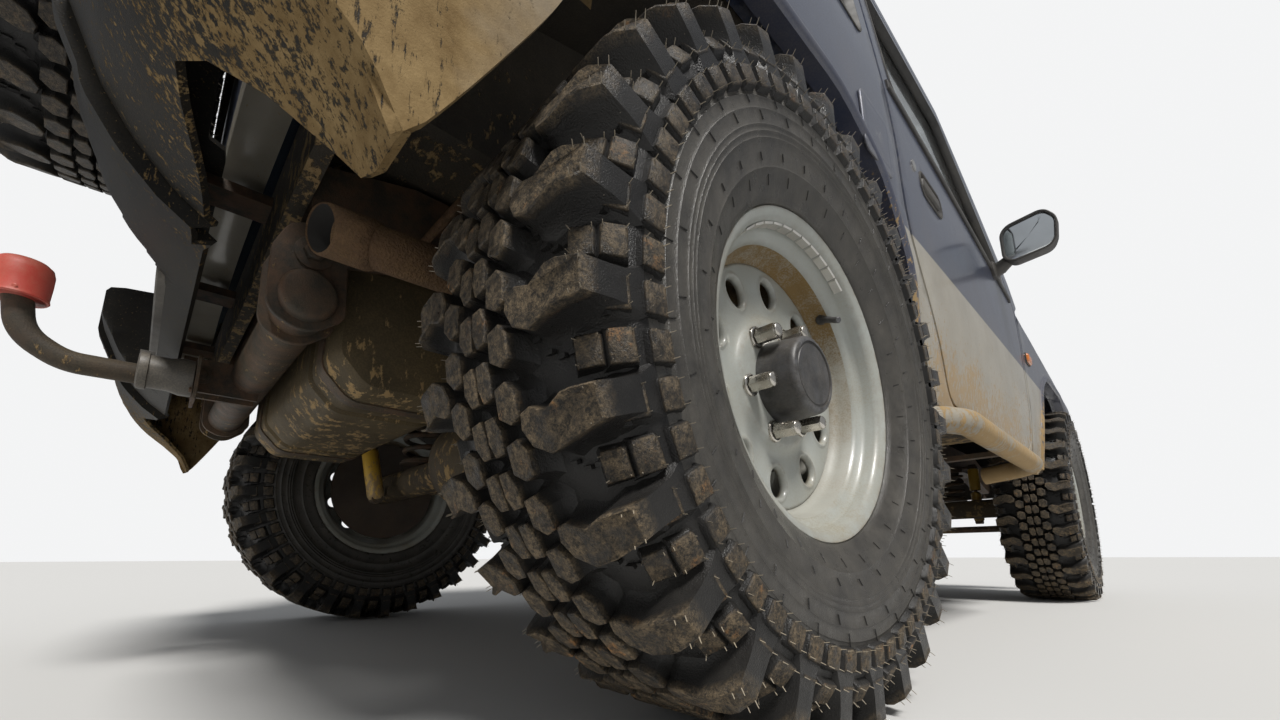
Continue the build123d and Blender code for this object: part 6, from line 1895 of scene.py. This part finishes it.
def make_front_axle():
    """Front axle with its yokes, propeller shafts with their joints, and brake plates."""
    centre = (0, FRONT_Y, AXLE_Z)
    axle = Shell()
    offset, end = 0.18, KINGPIN - 0.062
    axle.turned([(-end, 0.044), (offset - 0.15, 0.044), (offset - 0.13, 0.05), (offset - 0.095, 0.088),
        (offset - 0.06, 0.111), (offset, 0.1148), (offset + 0.06, 0.11), (offset + 0.095, 0.088),
        (offset + 0.13, 0.05), (offset + 0.15, 0.044), (end, 0.044)], 40, centre=centre)
    for a, b in circle(0.103, 12):
        bolt(axle, (offset - 0.032, FRONT_Y + a, AXLE_Z + b), (-1, 0, 0), 0.0055)
    nose_line = [(offset, at(FRONT_AXLE + back), AXLE_Z + rise)
        for back, rise in ((0.153, 0.01), (0.148, 0.01), (0.12, 0.01), (0.05, 0.0))]
    axle.tube(nose_line, mm([34, 41, 39, 65]), 28)
    for way in (-1, 1):
        for low, high in (((end - 0.021, -0.031, -0.104), (end, 0.031, 0.104)),
                ((end - 0.004, -0.031, 0.0885), (0.6855, 0.031, 0.1045)),
                ((end - 0.004, -0.031, -0.1045), (0.6855, 0.031, -0.0885))):
            x0, x1 = sorted((way * low[0], way * high[0]))
            axle.block((x0, FRONT_Y + low[1], AXLE_Z + low[2]), (x1, FRONT_Y + high[1], AXLE_Z + high[2]))
        for x, half, y0, y1 in ((0.333, 0.016, 0.0, 0.0595), (0.47, 0.012, -0.0655, 0.0)):
            axle.block((way * x - half, FRONT_Y + y0, AXLE_Z - 0.042),
                (way * x + half, FRONT_Y + y1, AXLE_Z - 0.014))
    dressed("front_axle", axle, [CASTING])
    shafts = Shell()
    for x, y0, z0, y1, z1, r in ((0.0, -1.299, 0.545, -0.156, AXLE_Z + 0.01, 0.0295),
            (0.18, -1.401, 0.54, -2.194, AXLE_Z + 0.01, 0.0255)):
        low, high = Vector((x, at(y0), z0)), Vector((x, at(y1), z1))
        run = high - low
        size = run.length
        joint = [s / size for s in (0.0, 0.008, 0.01, 0.055, 0.06, 0.075)]
        radii = [r, r, r * 0.72, r * 0.66, r * 0.95, r]
        shafts.tube(between(low, high, joint), radii, 24)
        shafts.tube(between(low, high, (joint[-1], 1 - joint[-1])), r * 0.98, 28)
        shafts.tube(between(low, high, [1 - share for share in reversed(joint)]), radii[::-1], 24)
        for spot in between(low, high, (0.033 / size, 1 - 0.033 / size)):
            for arm in (Vector((r * 0.98, 0, 0)), Vector((0, 0, r * 0.98))):
                shafts.tube([spot - arm, spot + arm], r * 0.36, 16)
    dressed("propeller_shafts", shafts, [CHASSIS])
    for name, y, bodies in (("rear", REAR_Y, ("body", "body")),
            ("front", FRONT_Y, ("knuckle_left", "knuckle_right"))):
        for side_name, way, body in (("left", 1, bodies[0]), ("right", -1, bodies[1])):
            plate = Shell()
            inner = 0.046 if name == "rear" else 0.06
            rows = ((0.6925, inner), (0.6925, 0.15), (0.6905, 0.157), (0.6945, 0.1585), (0.7015, 0.157),
                (0.7015, 0.1535), (0.6955, 0.15), (0.6955, inner), (0.6925, inner))
            out = 0.0 if name == "rear" else 0.012
            plate.turned([(way * (x + out), r) for x, r in rows], 64, centre=(0, y, AXLE_Z), caps=OPEN)
            if name == "front":
                rows = ((0.73, 0.058), (0.73, 0.138), (0.732, 0.14), (0.752, 0.14), (0.754, 0.138),
                    (0.754, 0.1), (0.776, 0.098), (0.786, 0.09), (0.7862, 0.03))
                plate.turned([(way * x, r) for x, r in rows], 64, centre=(0, y, AXLE_Z))
            piece(f"brake_plate_{name}_{side_name}", plate, [BRAKE], body)


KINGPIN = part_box("knuckle_left")[0].x + 0.058
BRAKE = finish_material("brake_iron", (0.03, 0.024, 0.02), 0.8, grain=(420.0, 25.0, 0.9),
    bump=(0.6, 0.001), dust=((0.13, 0.085, 0.05), 0.6, 0.2, 0.9, 7.0))


# Cabin
def fabric_material(name, base, stripe):
    """Woven seat cloth with a fine ribbed stripe."""
    material, t, surface, where = new_material(name)
    wave = {"Vector": where, "Distortion": 0.4, "Detail": 1.0}
    across, down, back = (t.node("ShaderNodeTexWave", {**wave, "Scale": scale},
        bands_direction=axis).outputs["Fac"] for axis, scale in (("X", 190.0), ("Z", 230.0),
        ("Y", 210.0)))
    weave = t.times(across, t.math("MAXIMUM", down, back))
    mottle = t.spread(where, 260.0, 4.0, 0.35, 0.65)
    colour = t.mix(t.times(weave, 0.6), base, stripe)
    colour = t.mix(t.times(mottle, 0.35), colour, tuple(c * 0.6 for c in base))
    t.feed(surface, Base_Color=colour, Roughness=0.93, Sheen_Weight=0.35)
    bumped(t, surface, t.plus(weave, mottle), 0.5, 0.0005)
    return material


SEAT_SIDE = fabric_material("seat_cloth_side", (0.035, 0.037, 0.042), (0.075, 0.078, 0.086))
SEAT_MIDDLE = fabric_material("seat_cloth_middle", (0.085, 0.09, 0.1), (0.16, 0.165, 0.175))
# Share of a normal towards the sitter that counts as the seat's face, and how deep its seams are
FACING = 0.45
SEAM_DEPTH = 0.006
# Seats: name, middle x, hip y, width, cushion length, top of the cushion, height of the back and swell cap
SEATS = (("right", -0.38, -0.7, 0.5, 0.47, 0.88, 0.56, 0.013), ("left", 0.38, -0.7, 0.5, 0.47, 0.88, 0.56,
    0.013), ("rear", 0.0, 0.07, 1.06, 0.4, 0.96, 0.48, 0.01))


def swollen(obj, cap, voxel):
    """Blows a closed form up as cloth under pressure and keeps each point's move within a cap."""
    remesh = obj.modifiers.new("skin", "REMESH")
    remesh.mode = "VOXEL"
    remesh.voxel_size = voxel
    bake(obj)
    start = [v.co.copy() for v in obj.data.vertices]
    cloth = obj.modifiers.new("cloth", "CLOTH")
    cloth.settings.use_pressure = True
    cloth.settings.uniform_pressure_force = 4.0
    cloth.settings.effector_weights.gravity = 0.0
    cloth.settings.quality = 5
    cloth.point_cache.frame_start = 1
    cloth.point_cache.frame_end = 20
    for frame_number in range(1, 21):
        bpy.context.scene.frame_set(frame_number)
    held = bpy.context.evaluated_depsgraph_get()
    points = [v.co.copy() for v in obj.evaluated_get(held).data.vertices]
    obj.modifiers.clear()
    bpy.context.scene.frame_set(1)
    for vert, first, last in zip(obj.data.vertices, start, points):
        move = last - first
        vert.co = first + move * min(1.0, cap / max(move.length, 1e-9))
    return obj


def cushion_form(name, outline, x, width, cap, limits, channels):
    """One padded form: a side outline across a width, blown up and sewn with seams and channels."""
    shell = Shell()
    half = width / 2
    bench = width > 0.7
    seams = (-0.36, -0.12, 0.12, 0.36) if bench else (-0.3, 0.3)
    middle_half = seams[-1] * width
    rows = ((-1.0, -0.03), (-1.0, -0.016), (-0.97, -0.006), (-0.9, 0.0), (0.9, 0.0), (0.97, -0.006),
        (1.0, -0.016), (1.0, -0.03))
    slab(shell, outline, [(x + share * (half - 0.01), spread - 0.006) for share, spread in rows])
    obj = swollen(built(name, shell, [SEAT_SIDE, SEAT_MIDDLE], 40), cap, 0.0135)
    smoother = obj.modifiers.new("round", "SUBSURF")
    smoother.levels = smoother.render_levels = 1
    bake(obj)
    face_way, along_way = Vector(limits["face"]).normalized(), Vector(limits["along"]).normalized()
    facing = [vert.normal.dot(face_way) > FACING for vert in obj.data.vertices]
    for vert, faces_out in zip(obj.data.vertices, facing):
        point = vert.co
        if faces_out:
            depth = 0.0
            for edge in seams:
                depth = max(depth, math.exp(-(((point.x - x) - edge * width) / 0.0075) ** 2))
            if abs(point.x - x) < middle_half:
                place = (point - Vector(limits["foot"])).dot(along_way)
                for k in range(channels):
                    depth = max(depth,
                        0.8 * math.exp(-((place - limits["start"] - k * limits["step"]) / 0.007) ** 2))
            vert.co = point - face_way * (SEAM_DEPTH * depth)
        for way, most in limits["walls"]:
            over = vert.co.dot(Vector(way)) - most
            if over > 0:
                vert.co = vert.co - Vector(way) * over
    for polygon in obj.data.polygons:
        inside = abs(polygon.center.x - x) < middle_half and polygon.normal.dot(face_way) > FACING
        polygon.material_index = 1 if inside else 0
    shade(obj.data, 60)
    return obj


def make_seats():
    """Padded cushions and backs of both front seats and the rear bench."""
    for name, x, y, width, length, top, back, cap in SEATS:
        lean = Vector((0, 0.12 - 0.004, back + 0.07)).normalized()
        cushion = [(y - length, top - 0.13, 0.02), (y - length + 0.01, top, 0.05), (y, top - 0.03, 0.02),
            (y, top - 0.13, 0.01)]
        rest = [(y + 0.004, top - 0.06, 0.02), (y + 0.12, top - 0.09, 0.02),
            (y + 0.215, top + back, 0.045), (y + 0.12, top + back + 0.01, 0.05)]
        on_cushion = {"face": (0, -0.06, 1), "along": (0, 1, 0), "foot": (x, at(y - length), top),
            "start": 0.11, "step": 0.095, "walls": (((0, 0, -1), -(top - 0.13)), ((0, 1, 0), at(y)),
            ((0, 0, 1), top + 0.012))}
        on_rest = {"face": (0, -lean.z, lean.y), "along": tuple(lean),
            "foot": (x, at(y + 0.004), top - 0.06), "start": 0.13, "step": 0.085,
            "walls": (((0, 0, -1), -(top - 0.092)), ((0, 0, 1), top + back + 0.016))}
        bench = name == "rear"
        for kind, outline, limits, channels in (("seat_cushion", cushion, on_cushion, 3 if bench else 4),
                ("seat_back", rest, on_rest, 4 if bench else 5)):
            pad = cushion_form(f"{kind}_{name}", arcs(outline), x, width, cap, limits, channels)
            settled(pad, "body", (kind + "s",) if bench else ())


def make_dashboard():
    """Dashboard with hood, vents and glove box, the column and the steering wheel."""
    dash = Shell()
    outline = arcs(mm([(-1654, 902, 10), (-1480, 882, 30), (-1352, 950, 40), (-1371, 1044, 45),
        (-1565, 1073, 30), (-1579, 1041, 10), (-1654, 1039, 10)]))
    slab(dash, outline, mm([(-768.5, -6), (-765, -1), (-755, 0), (755, 0), (765, -1), (768.5, -6)]))
    hood = arcs(mm([(225, 1030, 30), (535, 1030, 30), (520, 1112, 50), (240, 1112, 50)]))
    front = upright(-1.372, 0.18, 1.03)
    pressed(dash, hood, ((-20, -150), (-6, -120), (0, -30), (0, 12), (-4, 16), (-10, 14), (-14, -6)),
        front, caps=BOTH)
    for x in (0.3, 0.38, 0.46):
        dial = [(at(-1.3655), 0.034), (at(-1.3605), 0.034), (at(-1.3605), 0.031), (at(-1.364), 0.03),
            (at(-1.364), 0.001)]
        dash.turned(dial, 32, 1, axis="Y", centre=(x, 0, 1.064), caps=LAST)
    face = upright(-1.3525, -0.21, 0.95)
    for a, b, c, d in ((-0.72, 0.985, -0.6, 1.035), (-0.14, 0.985, -0.02, 1.035),
            (0.02, 0.985, 0.14, 1.035), (0.6, 0.985, 0.72, 1.035)):
        shape = arcs(rect(a, b, c, d, 0.01))
        pressed(dash, shape, ((0, -2), (0, 3), (-4, 4), (-7, -4)), face, 1)
        for k in range(4):
            z = b + 0.0085 + 0.0105 * k
            dash.block((a + 0.008, at(-1.352 - 0.21 * (z - 0.95) - 0.003), z),
                (c - 0.008, at(-1.352 - 0.21 * (z - 0.95) + 0.004), z + 0.004))
    glove = arcs(rect(-0.7, 0.905, -0.22, 0.97, 0.015))
    under = lambda a, b, lift=0.0: Vector((a, at(-1.352 - 0.9 * max(0.0, 0.958 - b) + lift),
        b - lift * 0.5))
    pressed(dash, glove, ((0, -4), (0, 2), (-3, 4), (-20, 4.5)), under)
    for k in range(3):
        dash.turned([(at(-1.349), 0.019), (at(-1.332), 0.017), (at(-1.331), 0.001)], 24, 1, axis="Y",
            centre=(-0.055 + 0.055 * k, 0, 0.962), caps=LAST)
    lean = math.radians(25.0)
    wheel_place = Matrix(((0, -1, 0, 0.38), (math.cos(lean), 0, -math.sin(lean), at(-1.27)),
        (math.sin(lean), 0, math.cos(lean), 1.09), (0, 0, 0, 1)))
    column = Shell()
    column.turned(mm([(-188, 26), (-170, 28), (-120, 28), (-110, 27), (-31, 25)]), 28)
    for way in (1, -1):
        stalk = [(-0.06, way * 0.02, 0.0), (-0.06, way * 0.135, 0.008), (-0.058, way * 0.15, 0.01)]
        column.tube(stalk, [0.0065, 0.005, 0.003])
    part = built("column", column, [INTERIOR], 40)
    part.data.transform(wheel_place)
    settled(joined("dashboard_dressed", [built("dash", dash, [INTERIOR, SOOT], 40), part]), "body",
        ("dashboard",))
    wheel = Shell()
    ring = [(0.0105 * math.sin(a), 0.1775 + 0.0122 * math.cos(a)) for a in turns(14)]
    wheel.loft([[(s, r * math.cos(b), r * math.sin(b)) for s, r in ring] for b in turns(64) + [0.0]],
        caps=OPEN)
    wheel.turned(mm([(-29, 36), (-20, 44), (-6, 45.5), (4, 44), (9, 36), (9.8, 1)]), 40)
    for turn in turns(3):
        rows = []
        for r, wide, thick in ((0.036, 0.0165, 0.0045), (0.08, 0.0125, 0.004), (0.15, 0.0115, 0.004),
                (0.17, 0.012, 0.0042)):
            loop = []
            for a, b in ((-1, -0.6), (-0.8, -1), (0.8, -1), (1, -0.6), (1, 0.6), (0.8, 1), (-0.8, 1),
                    (-1, 0.6)):
                y, z = r, a * wide
                loop.append((-0.004 + b * thick, y * math.cos(turn) - z * math.sin(turn),
                    y * math.sin(turn) + z * math.cos(turn)))
            rows.append(loop)
        wheel.loft(rows)
    obj = built("steering_wheel_dressed", wheel, [INTERIOR], 50)
    obj.data.transform(wheel_place)
    settled(obj, "steering_wheel", ("steering_wheel",))


COWL = finish_material("cowl_plastic", (0.018, 0.018, 0.019), 0.55, grain=(900.0, 45.0, 0.4),
    bump=(0.35, 0.0004), dust=(DRY_DUST, 0.16, 0.35, 1.25, 8.0))
UNDERSEAL = finish_material("underseal", (0.018, 0.017, 0.016), 0.8, grain=(350.0, 40.0, 0.9),
    bump=(0.8, 0.0014), dust=((0.15, 0.115, 0.07), 0.75, 0.3, 1.2, 5.0), mud=(0.8, 0.75, 0.3, 40.0))
# Solids that keep their shape and take a finish
KEPT = {"chassis_rails": CHASSIS, "crossmembers": CHASSIS, "track_rod": CHASSIS, "spare_carrier": CHASSIS,
    "seat_frames": CHASSIS, "engine_block": CASTING, "knuckle_left": CASTING, "knuckle_right": CASTING,
    "cowl": COWL, "floor": UNDERSEAL}
make_front_end()
make_front_axle()
make_dashboard()
make_seats()
for name, material in KEPT.items():
    slots = nodes[name].material_slots
    for place in slots:
        place.material = material
    if not slots:
        nodes[name].data.materials.append(material)

# Camera: at floor level behind the right rear wheel, with the photo's wide view
CAMERA_PLACE = Vector((-1.132, 1.696, 0.187))
CAMERA_RIGHT = Vector((-0.6977, -0.7164, -0.0039))
CAMERA_DOWN = Vector((0.1423, -0.1333, -0.9808))
CAMERA_AHEAD = Vector((0.7021, -0.6848, 0.195))


def make_camera():
    """The photo's camera."""
    data = bpy.data.cameras.new("camera")
    data.sensor_width = 36.0
    data.lens = 14.41
    data.shift_y = 0.0743
    data.clip_start = 0.02
    obj = bpy.data.objects.new("camera", data)
    bpy.context.scene.collection.objects.link(obj)
    obj.matrix_world = Matrix.Translation(CAMERA_PLACE) @ Matrix((CAMERA_RIGHT, -CAMERA_DOWN,
        -CAMERA_AHEAD)).transposed().to_4x4()
    bpy.context.scene.camera = obj


def make_studio():
    """Pale floor, plain background and soft light."""
    scene = bpy.context.scene
    scene.view_settings.view_transform = "Standard"
    mesh = bpy.data.meshes.new("floor_plane")
    reach = 60.0
    mesh.from_pydata(rect(-reach, -reach, reach, reach, 0), [], [(0, 1, 2, 3)])
    floor = linked("floor_plane", mesh)
    material, t, surface = new_material("studio_floor")[:3]
    t.feed(surface, Base_Color=(0.6, 0.6, 0.59), Roughness=0.9)
    mesh.materials.append(material)
    world = bpy.data.worlds.new("studio")
    scene.world = world
    world.use_nodes = True
    t = Tree(world.node_tree)
    back = world.node_tree.nodes["Background"]
    path = t.node("ShaderNodeLightPath")
    seen = t.math("MAXIMUM", path.outputs["Is Camera Ray"], path.outputs["Is Transmission Ray"])
    up = t.node("ShaderNodeSeparateXYZ",
        {0: t.node("ShaderNodeTexCoord").outputs["Generated"]}).outputs[2]
    sky = t.mix(t.ramp(up, -0.1, 0.9), (0.78, 0.79, 0.8), (0.92, 0.95, 1.0))
    t.feed(back.inputs, Color=t.mix(seen, sky, (0.9, 0.905, 0.91)), Strength=t.ramp(seen, 0.0, 1.0, 0.36,
        1.0))
    light = bpy.data.lights.new("sun", "SUN")
    light.energy = 3.7
    light.angle = math.radians(16.0)
    light.color = (1.0, 0.975, 0.94)
    lamp = bpy.data.objects.new("sun", light)
    scene.collection.objects.link(lamp)
    lamp.rotation_mode = "QUATERNION"
    lamp.rotation_quaternion = Vector((0.62, -0.3, -0.95)).to_track_quat("-Z", "Y")


make_camera()
make_studio()
